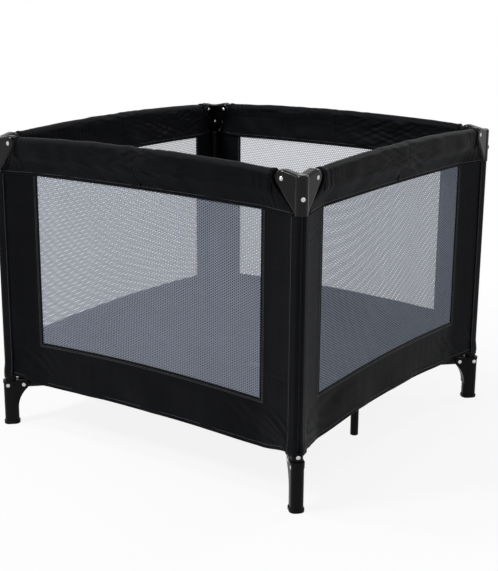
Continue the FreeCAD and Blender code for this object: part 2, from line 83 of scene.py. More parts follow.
HALF_SPAN = abs(middle_of("post_tube_front_left")[0])
RAIL_Z = middle_of("rail_tube_l_front")[2]
COVER_LOW, COVER_HIGH = np.array(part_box("rail_cover_l_front"))
COVER_OFF = HALF_SPAN + COVER_LOW[0]
WALL_LOW, WALL_HIGH = np.array(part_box("wall_cloth_front"))
WINDOW_LOW, WINDOW_HIGH = np.array(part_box("mesh_panel_front"))
FLOOR_LOW, FLOOR_HIGH = np.array(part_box("floor_pad"))
CAP_LOW, CAP_HIGH = np.array(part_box("corner_cap_front_left"))
LOBE_R = CAP_HIGH[2] - RAIL_Z
LOBE_OFF = HALF_SPAN - abs(JOINTS["rail_l_drop_front"]["pos_m"][0])
HUB_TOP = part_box("hub_body")[1][2]
POST_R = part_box("post_tube_front_left")[1][0] - middle_of("post_tube_front_left")[0]

# The cloth leaves the window at a slant, lies on the post and goes on round it; the wall itself
# ends under the sleeve that wraps the post.
SLANT = math.radians(16)
WRAP = math.radians(29)
WRAP_R = POST_R + 0.0012
SLEEVE_EDGE = HALF_SPAN - 0.018
NOTCH_R = POST_R + 0.0055


# ---- colours ---------------------------------------------------------------------------------
def linear(hex_colour):
    """The linear red, green and blue of an sRGB colour: the lower part of the curve is a straight line
    and the rest a power."""
    parts = np.array([int(hex_colour[i:i + 2], 16) for i in (0, 2, 4)]) / 255
    return tuple(np.where(parts <= 0.04045, parts / 12.92, ((parts + 0.055) / 1.055) ** 2.4))


def solid(colour):
    """A colour with its alpha."""
    return (*colour[:3], 1.0)


# ---- the sizes and colours that a user would change ------------------------------------------
class PlaypenCloth(bpy.types.PropertyGroup):
    """Woven polyester of the walls, the sleeves round the posts and the rail covers."""

    thickness: FloatProperty(name="Thickness", description="Coated wall cloth, both layers", default=0.0016,
                             min=0.0005, max=0.004, subtype="DISTANCE", unit="LENGTH")
    inset: FloatProperty(name="Inset", description="How far a side is pulled in at its middle by the taut cloth",
                         default=0.028, min=0.0, max=0.045, subtype="DISTANCE", unit="LENGTH")
    hem: FloatVectorProperty(name="Hem height", description="Hem above the ground at the middle of each side",
                             size=4, default=(0.129, 0.146, 0.138, 0.136), subtype="XYZ_LENGTH", unit="LENGTH")
    corner_hem: FloatProperty(name="Corner hem", description="Hem above the ground at the posts", default=0.137,
                              min=0.1, max=0.2, subtype="DISTANCE", unit="LENGTH")
    sill_rise: FloatProperty(name="Sill rise", description="How far the window's sill rises towards its middle",
                             default=0.010, min=0.0, max=0.02, subtype="DISTANCE", unit="LENGTH")
    binding: FloatProperty(name="Binding", description="Width of the binding round the window", default=0.009,
                           min=0.003, max=0.02, subtype="DISTANCE", unit="LENGTH")
    piping: FloatProperty(name="Piping", description="Radius of the corded piping", default=0.0019,
                          min=0.0005, max=0.004, subtype="DISTANCE", unit="LENGTH")
    stitch: FloatProperty(name="Stitch", description="Length of one stitch", default=0.0034,
                          min=0.001, max=0.01, subtype="DISTANCE", unit="LENGTH")
    weave: FloatProperty(name="Weave", description="Spacing of the drawn weave", default=0.0018,
                         min=0.0003, max=0.005, subtype="DISTANCE", unit="LENGTH")
    colour: FloatVectorProperty(name="Colour", description="Black polyester", size=3, subtype="COLOR",
                                default=linear("0e0f12"), min=0, max=1)
    # Paler colour for wear and for painted highlight: mixed in where the rub_and_highlight attribute is high, on tops
    # and crests as well as worn places.
    rubbed_and_highlit: FloatVectorProperty(name="Rubbed", description="Where hands and folds have rubbed it", size=3,
                                subtype="COLOR", default=linear("202126"), min=0, max=1)
    thread: FloatVectorProperty(name="Thread", description="Sewing thread", size=3, subtype="COLOR",
                                default=linear("35363c"), min=0, max=1)


class PlaypenCover(bpy.types.PropertyGroup):
    """Padded sleeves over the folding rails."""

    radius: FloatProperty(name="Top radius", description="Round top of the padded cover", default=0.0145,
                          min=0.012, max=0.02, subtype="DISTANCE", unit="LENGTH")
    bow: FloatProperty(name="Bow", description="How much higher the cover stands over the rail latch",
                       default=0.011, min=0.0, max=0.02, subtype="DISTANCE", unit="LENGTH")
    seam: FloatProperty(name="Seam", description="Half the thickness of the cover at its lower seam",
                        default=0.0030, min=0.001, max=0.006, subtype="DISTANCE", unit="LENGTH")
    crease: FloatProperty(name="Crease", description="Depth of the creases in the cover", default=0.0024,
                          min=0.0, max=0.005, subtype="DISTANCE", unit="LENGTH")


class PlaypenNet(bpy.types.PropertyGroup):
    """Warp-knitted netting of the four windows."""

    pitch: FloatProperty(name="Pitch", description="From one hole to the next", default=0.0062,
                         min=0.003, max=0.01, subtype="DISTANCE", unit="LENGTH")
    open_share: FloatProperty(name="Open share", description="Share of the netting that is hole", default=0.24,
                              min=0.1, max=0.8, subtype="FACTOR")
    relief: FloatProperty(name="Relief", description="How far the middle of a strand stands out", default=0.0003,
                          min=0.0, max=0.001, subtype="DISTANCE", unit="LENGTH")
    colour: FloatVectorProperty(name="Colour", description="Blue-grey polyester yarn", size=3, subtype="COLOR",
                                default=linear("9ea5b4"), min=0, max=1)


class PlaypenFloor(bpy.types.PropertyGroup):
    """Quilted floor, sewn in four quarters that fold up with the base tubes."""

    quilt: FloatProperty(name="Quilt", description="Spacing of the quilting lines", default=0.062,
                         min=0.02, max=0.2, subtype="DISTANCE", unit="LENGTH")
    dip: FloatProperty(name="Dip", description="Depth of a quilting line", default=0.0019,
                       min=0.0, max=0.004, subtype="DISTANCE", unit="LENGTH")
    opening: FloatProperty(name="Opening", description="Radius of the opening round the pull strap",
                           default=0.016, min=0.005, max=0.04, subtype="DISTANCE", unit="LENGTH")
    colour: FloatVectorProperty(name="Colour", description="Charcoal polyester", size=3, subtype="COLOR",
                                default=linear("141518"), min=0, max=1)


class PlaypenHardware(bpy.types.PropertyGroup):
    """Mouldings, tubes and rivets of the frame."""

    gloss: FloatVectorProperty(name="Cap", description="Glossy black of the corner caps", size=3,
                               subtype="COLOR", default=linear("060607"), min=0, max=1)
    satin: FloatVectorProperty(name="Foot", description="Satin black of the feet", size=3, subtype="COLOR",
                               default=linear("101010"), min=0, max=1)
    paint: FloatVectorProperty(name="Tube", description="Powder coat of the tubes", size=3, subtype="COLOR",
                               default=linear("121315"), min=0, max=1)
    zinc: FloatVectorProperty(name="Rivet", description="Zinc-plated steel", size=3, subtype="COLOR",
                              default=linear("c9cbcf"), min=0, max=1)


class PlaypenStudio(bpy.types.PropertyGroup):
    """Floor, lamps and camera."""

    eye: FloatVectorProperty(name="Camera", description="Where the camera stands", size=3,
                             default=(1.7585, -2.5063, 1.1866), subtype="TRANSLATION", unit="LENGTH")
    yaw: FloatProperty(name="Yaw", description="Camera's turn from the +Y axis, to the right",
                       default=math.radians(-35.027), subtype="ANGLE", unit="ROTATION")
    pitch: FloatProperty(name="Pitch", description="Camera's tilt down", default=math.radians(15.259),
                         subtype="ANGLE", unit="ROTATION")
    roll: FloatProperty(name="Roll", description="Camera's roll", default=math.radians(0.386),
                        subtype="ANGLE", unit="ROTATION")
    lens: FloatProperty(name="Lens", description="Focal length in millimetres", default=74.61, min=20, max=300)
    key: FloatProperty(name="Key", description="Power of the large soft lamp", default=80.0, min=0, subtype="POWER",
                       unit="POWER")
    fill: FloatProperty(name="Fill", description="Power of the lamp on the other side", default=7.0, min=0,
                        subtype="POWER", unit="POWER")
    sky: FloatProperty(name="Sky", description="Strength of the light from all round", default=0.30, min=0)


# ---- mesh code -------------------------------------------------------------------------------
def to_side(points, side):
    """Points (s, d, z) of a side in the object's own axes: out to the side's line, then turned by its
    quarter turns."""
    s, d, z = points[..., 0], points[..., 1], points[..., 2]
    x, y = s, -(HALF_SPAN + d)
    turn = math.radians(90 * SIDES.index(side))
    return np.stack([x * math.cos(turn) - y * math.sin(turn), x * math.sin(turn) + y * math.cos(turn), z], -1)


def direction_on(side, vector):
    """A direction given as (s, d, z), in the object's own axes."""
    moved = to_side(np.array([vector, (0.0, 0.0, 0.0)], float), side)
    return moved[0] - moved[1]


def sheet_grid(points, across=None, along=None, hole=None, slot=0, rub_and_highlight=None):
    """One surface on a grid: its points, the lengths of cloth across and along it in metres, which
    cells are cut away, its material and how much paler each point is drawn, for wear and for painted highlight."""
    rows, columns = points.shape[:2]
    step_across = np.linalg.norm(np.diff(points, axis=1), axis=2).mean(0)
    step_along = np.linalg.norm(np.diff(points, axis=0), axis=2).mean(1)
    across = np.r_[0, np.cumsum(step_across)] if across is None else across
    along = np.r_[0, np.cumsum(step_along)] if along is None else along
    rub_and_highlight = np.zeros((rows, columns)) if rub_and_highlight is None else rub_and_highlight
    return {"points": points, "across": across, "along": along, "hole": hole, "slot": slot, "rub_and_highlight": rub_and_highlight}


def make_piece(name, grids, materials, merge=2e-6):
    """A mesh object of several grids.  Each cell of a grid is one face, turned so that rows times
    columns points outwards; coinciding points are merged, which closes seams and poles."""
    points, faces, uvs, slots, rubs_and_highlights, count = [], [], [], [], [], 0
    for g in grids:
        rows, columns = g["points"].shape[:2]
        index = np.arange(rows * columns).reshape(rows, columns)
        cells = np.stack([index[:-1, :-1], index[:-1, 1:], index[1:, 1:], index[1:, :-1]], -1)
        keep = np.ones(cells.shape[:2], bool) if g["hole"] is None else ~g["hole"]
        cells = cells[keep]
        u, v = np.meshgrid(g["across"], g["along"])
        uvs.append(np.stack([u.ravel(), v.ravel()], -1)[cells].reshape(-1, 2))
        points.append(g["points"].reshape(-1, 3))
        faces.append(cells + count)
        slots.append(np.full(len(cells), g["slot"]))
        rubs_and_highlights.append(g["rub_and_highlight"].ravel())
        count += rows * columns
    points, faces, uvs = np.concatenate(points), np.concatenate(faces), np.concatenate(uvs)
    mesh = bpy.data.meshes.new(name)
    mesh.vertices.add(len(points))
    mesh.vertices.foreach_set("co", points.astype(np.float32).ravel())
    mesh.loops.add(faces.size)
    mesh.loops.foreach_set("vertex_index", faces.astype(np.int32).ravel())
    mesh.polygons.add(len(faces))
    mesh.polygons.foreach_set("loop_start", np.arange(0, faces.size, 4, dtype=np.int32))
    mesh.polygons.foreach_set("material_index", np.concatenate(slots).astype(np.int32))
    mesh.update(calc_edges=True)
    mesh.uv_layers.new(name="cloth").data.foreach_set("uv", uvs.astype(np.float32).ravel())
    mesh.attributes.new("rub_and_highlight", "FLOAT", "POINT").data.foreach_set("value", np.concatenate(rubs_and_highlights).astype(np.float32))
    work = bmesh.new()
    work.from_mesh(mesh)
    bmesh.ops.remove_doubles(work, verts=work.verts, dist=merge)
    bmesh.ops.delete(work, geom=[v for v in work.verts if not v.link_faces], context="VERTS")
    work.to_mesh(mesh)
    work.free()
    mesh.polygons.foreach_set("use_smooth", np.ones(len(mesh.polygons), bool))
    for material in materials:
        mesh.materials.append(material)
    piece = bpy.data.objects.new(name, mesh)
    bpy.context.scene.collection.objects.link(piece)
    return piece


def unit(vectors):
    """Each vector at length one."""
    return vectors / np.maximum(np.linalg.norm(vectors, axis=-1, keepdims=True), 1e-12)


def cord_grid(path, radius, slot=0, sides=8):
    """Piping along a path: a circle carried along it, square to its run, with both ends drawn in to a
    point."""
    run = unit(np.gradient(path, axis=0))
    level = unit(np.cross(run, np.array([0.31, 0.17, 0.93])))
    other = np.cross(run, level)
    angle = np.linspace(0, 2 * np.pi, sides + 1)
    ring = level[:, None] * np.cos(angle)[None, :, None] + other[:, None] * np.sin(angle)[None, :, None]
    body = path[:, None] + radius * ring
    first = np.repeat(path[:1][:, None] - 0.4 * radius * run[:1][:, None], sides + 1, 1)
    last = np.repeat(path[-1:][:, None] + 0.4 * radius * run[-1:][:, None], sides + 1, 1)
    return sheet_grid(np.concatenate([first, body, last])[:, ::-1], slot=slot)


def along_path(path, spacing):
    """Places evenly spaced along a path, with the way it runs there."""
    length = np.r_[0, np.cumsum(np.linalg.norm(np.diff(path, axis=0), axis=1))]
    wanted = np.arange(spacing / 2, length[-1], spacing)
    places = np.stack([np.interp(wanted, length, path[:, i]) for i in range(3)], -1)
    ahead = np.stack([np.interp(wanted + spacing / 4, length, path[:, i]) for i in range(3)], -1)
    behind = np.stack([np.interp(wanted - spacing / 4, length, path[:, i]) for i in range(3)], -1)
    return places, unit(ahead - behind)


def stitch_grids(path, outward, length, slot):
    """A row of stitches along a path: each is a small loaf, one stitch long with a gap of two fifths
    of that, crowned outwards."""
    places, run = along_path(path, length * 1.4)
    outward = np.broadcast_to(np.asarray(outward, float), run.shape)
    side = unit(np.cross(run, outward))
    rise = np.cross(side, run)
    end = np.array([-0.5, -0.34, 0.34, 0.5]) * length
    crown = np.array([0.0, 1.0, 1.0, 0.0]) * 0.00055
    width = np.array([0.0, 1.0, 1.0, 0.0]) * 0.00055
    across = np.array([-1.0, 0.0, 1.0])
    high = np.array([0.25, 1.0, 0.25])
    points = (places[:, None, None] + run[:, None, None] * end[None, :, None, None]
              + side[:, None, None] * (width[:, None] * across[None])[None, ..., None]
              + rise[:, None, None] * (crown[:, None] * high[None])[None, ..., None])
    return [sheet_grid(p, slot=slot) for p in points[:, :, ::-1]]


def waves(a, b, seed, size, turn=0.0, spread=math.pi, count=18):
    """Smooth seeded unevenness of two lengths: the mean of plane waves of about one size, running
    within a spread about one direction."""
    rng = np.random.default_rng(seed)
    angle = turn + spread * (rng.random(count) - 0.5)
    number = 2 * np.pi / (size * rng.uniform(0.6, 1.7, count))
    phase = 2 * np.pi * rng.random(count)
    a, b = np.broadcast_arrays(np.asarray(a, float), np.asarray(b, float))
    grown = np.zeros(a.shape)
    for n, t, p in zip(number, angle, phase):
        grown += np.cos(n * (a * np.cos(t) + b * np.sin(t)) + p)
    return grown / math.sqrt(count / 2)


def ridges(a, b, seed, size, turn=0.0, spread=0.5):
    """Sharp creases between soft hollows: one less twice the size of the same waves, which peaks where
    they cross zero."""
    return 1 - 1.6 * np.abs(waves(a, b, seed, size, turn, spread))


def ease(value):
    """Zero to one with no kink at either end: three squares less two cubes."""
    value = np.clip(value, 0, 1)
    return value * value * (3 - 2 * value)


# ---- the lines that the cloth pieces share ---------------------------------------------------
def wrap_radius(z):
    """Radius of the sleeve's middle layer round a post: close on the tube, and wider over the foot's
    neck."""
    return WRAP_R + 0.0030 * (1 - ease((z - 0.142) / 0.03))


def wall_line(s, inset):
    """How far out the taut wall stands: flat and drawn in across the window, then bent softly, as the
    branch of a hyperbola, into a straight slant out to the posts."""
    end = HALF_SPAN - WRAP_R * math.sin(SLANT)
    bend = WINDOW_HIGH[0] - 0.010
    share = np.clip((np.abs(s) - bend) / (end - bend), 0, 1)
    return WRAP_R * math.cos(SLANT) - inset * (1 - (np.sqrt(share ** 2 + 0.04) - 0.2) / (math.sqrt(1.04) - 0.2))


def hem_line(s, side, cloth):
    """Height of the hem: a shallow arch under the window, eased to the corner's height beside the posts."""
    middle, half = cloth.hem[SIDES.index(side)], WINDOW_HIGH[0]
    dip = 0.4 * (middle - 0.112)
    arch = middle - dip * ease(np.abs(s) / half) ** 2
    return arch + (cloth.corner_hem - middle + dip) * ease((np.abs(s) - half) / (SLEEVE_EDGE - half))


def sill_line(s, side, cloth):
    """Height of the window's sill: a shallow arch, that follows a third of its side's hem."""
    half = WINDOW_HIGH[0]
    level = WINDOW_LOW[2] - 0.0065 + 0.3 * (cloth.hem[SIDES.index(side)] - cloth.corner_hem)
    return level + cloth.sill_rise * np.cos(np.pi * np.minimum(np.abs(s), half) / (2 * half))


def cap_edge(off):
    """Height of the cap's lower edge, that far from the post axis: the lobe's circle, and below it the
    straight edge down to the tip."""
    radius = LOBE_R + 0.0028
    tip = np.array([0.0115, COVER_LOW[2] + 0.001 - RAIL_Z])
    centre = np.array([LOBE_OFF, 0.0])
    gap = centre - tip
    reach = np.hypot(*gap)
    slope = math.atan2(gap[1], gap[0]) - math.asin(radius / reach)
    touch = tip + math.sqrt(reach ** 2 - radius ** 2) * np.array([math.cos(slope), math.sin(slope)])
    off = np.asarray(off, float)
    circle = -np.sqrt(np.maximum(radius ** 2 - (off - LOBE_OFF) ** 2, 0))
    line = tip[1] + (off - tip[0]) * math.tan(slope)
    return RAIL_Z + np.where(off < touch[0], line, circle)


# ---- materials -------------------------------------------------------------------------------
def add(tree, kind, inputs=None, **settings):
    """One node with its settings; an input takes a value or another node's socket."""
    made = tree.nodes.new(kind)
    for name, value in settings.items():
        setattr(made, name, value)
    for name, value in (inputs or {}).items():
        if isinstance(value, bpy.types.NodeSocket):
            tree.links.new(value, made.inputs[name])
        else:
            made.inputs[name].default_value = value
    return made


def new_material(name, **shader_inputs):
    """A material with one shader and its output; returns it with its tree and the shader."""
    material = bpy.data.materials.new(name)
    material.use_nodes = True
    tree = material.node_tree
    tree.nodes.clear()
    shader = add(tree, "ShaderNodeBsdfPrincipled", {k.replace("_", " "): v for k, v in shader_inputs.items()})
    add(tree, "ShaderNodeOutputMaterial", {"Surface": shader.outputs[0]})
    return material, tree, shader


def mixed(tree, share, first, second):
    """Colour output of a mix between two colours; the colour sockets of a mix node are its seventh and
    eighth."""
    made = add(tree, "ShaderNodeMix", {"Factor": share}, data_type="RGBA")
    for socket, value in ((made.inputs[6], first), (made.inputs[7], second)):
        if isinstance(value, bpy.types.NodeSocket):
            tree.links.new(value, socket)
        else:
            socket.default_value = value
    return made.outputs[2]


def ramp(tree, value, low, high):
    """A value stretched so that low gives zero and high gives one."""
    return add(tree, "ShaderNodeMapRange", {"Value": value, "From Min": low, "From Max": high}).outputs["Result"]


def ranged(tree, value, low, high):
    """A zero-to-one value brought to run from low to high."""
    return add(tree, "ShaderNodeMapRange", {"Value": value, "To Min": low, "To Max": high}).outputs["Result"]


def weave_height(tree, pitch):
    """Height of a plain weave over the cloth's own lengths: warp waves times weft waves half a thread
    apart."""
    where = add(tree, "ShaderNodeUVMap", uv_map="cloth").outputs["UV"]
    threads = [add(tree, "ShaderNodeTexWave", {"Vector": where, "Scale": math.pi / (10 * pitch), "Distortion": 0.6,
                                               "Detail": 1.0, "Detail Scale": 0.4},
                   wave_type="BANDS", bands_direction=way).outputs["Fac"] for way in ("X", "Y")]
    return add(tree, "ShaderNodeMath", {0: threads[0], 1: threads[1]}, operation="MULTIPLY").outputs[0]


def woven_polyester(name, colour, rubbed_and_highlit, pitch, roughness=(0.38, 0.58), sheen=0.02):
    """Coated polyester oxford, woven and calendered: matt black with a faint sheen, small
    cross-woven relief with painted shade in the hollows of the weave, cloudy tone, and a paler colour where
    the rub_and_highlight attribute is high, which stands for wear and for painted highlight on tops and crests.  Real
    threads lie 0.5 mm apart, too fine to show, so the weave is drawn at the pitch it is given."""
    material, tree, shader = new_material(name, Sheen_Weight=sheen, Sheen_Roughness=0.45,
                                          Specular_IOR_Level=0.035)
    place = add(tree, "ShaderNodeTexCoord").outputs["Object"]
    cloud = add(tree, "ShaderNodeTexNoise", {"Vector": place, "Scale": 9.0, "Detail": 4.0,
                                             "Roughness": 0.6}).outputs["Fac"]
    fleck = add(tree, "ShaderNodeTexNoise", {"Vector": place, "Scale": 420.0, "Detail": 2.0}).outputs["Fac"]
    height = weave_height(tree, pitch)
    rub_and_highlight = add(tree, "ShaderNodeAttribute", attribute_name="rub_and_highlight").outputs["Fac"]
    cloudy = ramp(tree, cloud, 0.38, 0.78)
    # Paler in cloudy patches where the rub_and_highlight attribute is high: wear, and painted highlight on tops and
    # crests.
    worn_and_highlit = add(tree, "ShaderNodeMath", {0: rub_and_highlight, 1: cloudy, 2: cloudy}, operation="MULTIPLY_ADD").outputs[0]
    share = add(tree, "ShaderNodeMath", {0: worn_and_highlit, 1: 0.42}, operation="MULTIPLY", use_clamp=True).outputs[0]
    toned = mixed(tree, share, solid(colour), solid(rubbed_and_highlit))
    # Painted shade: darker in the hollows between the woven threads.
    weave_hollow_shade = solid(np.array(colour) * 0.62)
    shade_painted_weave = mixed(tree, ramp(tree, height, 0.0, 0.5), weave_hollow_shade, toned)
    tree.links.new(shade_painted_weave, shader.inputs["Base Color"])
    tree.links.new(ranged(tree, fleck, *roughness), shader.inputs["Roughness"])
    bump = add(tree, "ShaderNodeBump", {"Height": height, "Strength": 0.35, "Distance": 0.0004})
    slub = add(tree, "ShaderNodeBump", {"Height": cloud, "Strength": 0.25, "Distance": 0.004,
                                        "Normal": bump.outputs["Normal"]})
    tree.links.new(slub.outputs["Normal"], shader.inputs["Normal"])
    return material


def knitted_net(name, colour):
    """Warp-knitted polyester netting: soft matt yarn, paler on the crown of a strand and deeper
    in its loops, with a slight sheen across the knit.  A strand is itself three open loops of
    yarn, so it lets a little light through."""
    material, tree, shader = new_material(name, Sheen_Weight=0.1, Sheen_Roughness=0.5, Specular_IOR_Level=0.1,
                                          Alpha=0.74)
    place = add(tree, "ShaderNodeTexCoord").outputs["Object"]
    cloud = add(tree, "ShaderNodeTexNoise", {"Vector": place, "Scale": 5.0, "Detail": 3.0}).outputs["Fac"]
    yarn = add(tree, "ShaderNodeTexNoise", {"Vector": place, "Scale": 900.0, "Detail": 2.0}).outputs["Fac"]
    tone = mixed(tree, ramp(tree, cloud, 0.35, 0.7), solid(np.array(colour) * 0.92), solid(np.array(colour) * 1.06))
    fibre = mixed(tree, ramp(tree, yarn, 0.3, 0.7), solid(np.array(colour) * 0.8), tone)
    tree.links.new(fibre, shader.inputs["Base Color"])
    tree.links.new(ranged(tree, yarn, 0.62, 0.82), shader.inputs["Roughness"])
    bump = add(tree, "ShaderNodeBump", {"Height": yarn, "Strength": 0.4, "Distance": 0.0003})
    tree.links.new(bump.outputs["Normal"], shader.inputs["Normal"])
    return material


def sewing_thread(name, colour):
    """Twisted polyester sewing thread: a little paler than the cloth, with a fine silky twist."""
    material, tree, shader = new_material(name, Sheen_Weight=0.4, Specular_IOR_Level=0.5)
    place = add(tree, "ShaderNodeTexCoord").outputs["Object"]
    twist = add(tree, "ShaderNodeTexNoise", {"Vector": place, "Scale": 700.0, "Detail": 1.0}).outputs["Fac"]
    tree.links.new(mixed(tree, twist, solid(np.array(colour) * 0.7), solid(colour)), shader.inputs["Base Color"])
    tree.links.new(ranged(tree, twist, 0.4, 0.65), shader.inputs["Roughness"])
    return material


def ribbed_webbing(name, colour, pitch):
    """Woven polypropylene webbing: close ribs across the strap, with painted shade between them and painted highlight
    on their crests, dull black, slightly fuzzy.
    """
    material, tree, shader = new_material(name, Sheen_Weight=0.35, Specular_IOR_Level=0.4)
    where = add(tree, "ShaderNodeUVMap", uv_map="cloth").outputs["UV"]
    ribs = add(tree, "ShaderNodeTexWave", {"Vector": where, "Scale": math.pi / (10 * pitch), "Distortion": 0.8},
               wave_type="BANDS", bands_direction="Y").outputs["Fac"]
    fuzz = add(tree, "ShaderNodeTexNoise", {"Vector": where, "Scale": 900.0, "Detail": 2.0}).outputs["Fac"]
    # Painted shade and highlight: darker between the ribs, paler on their crests.
    tree.links.new(mixed(tree, ribs, solid(np.array(colour) * 0.5), solid(np.array(colour) * 1.3)),
                   shader.inputs["Base Color"])
    tree.links.new(ranged(tree, fuzz, 0.6, 0.85), shader.inputs["Roughness"])
    bump = add(tree, "ShaderNodeBump", {"Height": ribs, "Strength": 0.6, "Distance": 0.0005})
    tree.links.new(bump.outputs["Normal"], shader.inputs["Normal"])
    return material


def moulded_plastic(name, colour, roughness, grain, relief, level, scuff):
    """Injection-moulded plastic: an even colour with faint flow clouds, a grain of the size it is
    given in metres from the mould, and fine scuffs that change only its gloss."""
    material, tree, shader = new_material(name, Specular_IOR_Level=level, IOR=1.5)
    place = add(tree, "ShaderNodeTexCoord").outputs["Object"]
    cloud = add(tree, "ShaderNodeTexNoise", {"Vector": place, "Scale": 22.0, "Detail": 3.0}).outputs["Fac"]
    texture = add(tree, "ShaderNodeTexNoise", {"Vector": place, "Scale": 1 / grain, "Detail": 2.0}).outputs["Fac"]
    stretched = add(tree, "ShaderNodeMapping", {"Vector": place, "Scale": (60.0, 520.0, 200.0),
                                                "Rotation": (0.4, 0.7, 0.2)}).outputs["Vector"]
    scratch = add(tree, "ShaderNodeTexNoise", {"Vector": stretched, "Scale": 1.0, "Detail": 3.0,
                                               "Roughness": 0.7}).outputs["Fac"]
    marks = ramp(tree, scratch, 0.60, 0.78)
    lively = mixed(tree, ramp(tree, cloud, 0.3, 0.75), solid(np.array(colour) * 0.85), solid(np.array(colour) * 1.2))
    tree.links.new(lively, shader.inputs["Base Color"])
    gloss = add(tree, "ShaderNodeMath", {0: marks, 1: scuff, 2: roughness}, operation="MULTIPLY_ADD").outputs[0]
    tree.links.new(gloss, shader.inputs["Roughness"])
    bump = add(tree, "ShaderNodeBump", {"Height": texture, "Strength": relief, "Distance": 0.0002})
    tree.links.new(bump.outputs["Normal"], shader.inputs["Normal"])
    return material


def powder_coat(name, colour):
    """Powder-coated steel tube: dark grey polyester paint with the fine orange peel of a baked
    coat, duller where it has been handled."""
    material, tree, shader = new_material(name, Specular_IOR_Level=0.1)
    place = add(tree, "ShaderNodeTexCoord").outputs["Object"]
    peel = add(tree, "ShaderNodeTexNoise", {"Vector": place, "Scale": 650.0, "Detail": 1.0}).outputs["Fac"]
    cloud = add(tree, "ShaderNodeTexNoise", {"Vector": place, "Scale": 14.0, "Detail": 4.0}).outputs["Fac"]
    tree.links.new(mixed(tree, cloud, solid(np.array(colour) * 0.8), solid(np.array(colour) * 1.15)),
                   shader.inputs["Base Color"])
    tree.links.new(ranged(tree, cloud, 0.34, 0.55), shader.inputs["Roughness"])
    bump = add(tree, "ShaderNodeBump", {"Height": peel, "Strength": 0.3, "Distance": 0.0002})
    tree.links.new(bump.outputs["Normal"], shader.inputs["Normal"])
    return material


def zinc_plate(name, colour):
    """Zinc-plated steel rivet: bright grey metal, headed cold, with small tool marks and a little
    dulling from the air."""
    material, tree, shader = new_material(name, Metallic=1.0)
    place = add(tree, "ShaderNodeTexCoord").outputs["Object"]
    dull = add(tree, "ShaderNodeTexNoise", {"Vector": place, "Scale": 320.0, "Detail": 3.0}).outputs["Fac"]
    tree.links.new(mixed(tree, dull, solid(np.array(colour) * 0.75), solid(colour)), shader.inputs["Base Color"])
    tree.links.new(ranged(tree, dull, 0.2, 0.42), shader.inputs["Roughness"])
    bump = add(tree, "ShaderNodeBump", {"Height": dull, "Strength": 0.25, "Distance": 0.0002})
    tree.links.new(bump.outputs["Normal"], shader.inputs["Normal"])
    return material


def cloth_materials(scene):
    """The cloth and thread that several pieces share, made once."""
    cloth = scene.playpen_cloth
    made = bpy.data.materials
    woven = made.get("polyester_oxford") or woven_polyester("polyester_oxford", cloth.colour, cloth.rubbed_and_highlit,
                                                            cloth.weave)
    bound = made.get("polyester_binding") or woven_polyester(
        "polyester_binding", cloth.colour, cloth.rubbed_and_highlit, cloth.weave * 0.7, (0.32, 0.46), 0.03)
    thread = made.get("sewing_thread") or sewing_thread("sewing_thread", cloth.thread)
    return woven, bound, thread


# ---- what an operator hands over -------------------------------------------------------------
def hand_over(piece, body, stands_for=(), squash=None):
    """Put a finished piece on its body and hide the solids it stands for; a piece given a squash gets its own copy of
    its mesh.
    """
    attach(piece, body)
    if stands_for:
        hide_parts(*stands_for)
    if squash:
        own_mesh(piece)


def give_thickness(piece, thickness):
    """Turn a sheet into cloth of that thickness, half of it on each side, and keep the result."""
    modifier = piece.modifiers.new("cloth", "SOLIDIFY")
    modifier.thickness = thickness
    modifier.offset = 0.0
    modifier.use_even_offset = True
    bpy.context.view_layer.update()
    depsgraph = bpy.context.evaluated_depsgraph_get()
    mesh = bpy.data.meshes.new_from_object(piece.evaluated_get(depsgraph), preserve_all_data_layers=True,
                                           depsgraph=depsgraph)
    piece.modifiers.clear()
    piece.data = mesh


def folded_share(low, high):
    """Share of its length that a cloth between two places along a side keeps when the posts have come
    together."""
    reach = math.radians(JOINTS[FOLD]["range_deg"][1])
    outer, inner = (abs(JOINTS[name]["pos_m"][0]) for name in ("rail_l_drop_front", "latch_level_front"))
    spacing = 2 * (HALF_SPAN - outer + inner + (outer - inner) * math.cos(reach))
    return (spacing - (2 * HALF_SPAN - (high - low))) / (high - low)


class PLAYPEN_OT_wall_cloths(bpy.types.Operator):
    """Wall cloths: a taut sheet on each side with the window cut out, its binding, piping and stitching"""

    bl_idname = "playpen.wall_cloths"
    bl_label = "Wall cloths"

    def execute(self, context):
        cloth = context.scene.playpen_cloth
        woven, bound, thread = cloth_materials(context.scene)
        for side in SIDES:
            grid, area = wall_grid(side, cloth)
            wall = make_piece(f"wall_{side}", [grid], [woven])
            give_thickness(wall, cloth.thickness)
            trim = make_piece(f"wall_trim_{side}", wall_trim(side, cloth), [bound, thread])
            fold = wall_fold(side)
            for piece in (wall, trim):
                hand_over(piece, "post_" + LEFT_POST[side], squash=fold)
            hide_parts("wall_cloth_" + side)
        return {"FINISHED"}




def wall_fold(side):
    """How a wall gathers as the pen folds: along its side, towards its left-hand post."""
    start = to_side(np.array([-SLEEVE_EDGE, 0.0, RAIL_Z]), side)
    return {"axis": tuple(direction_on(side, (1.0, 0.0, 0.0))), "anchor": tuple(start),
            "keep": folded_share(-SLEEVE_EDGE, SLEEVE_EDGE)}


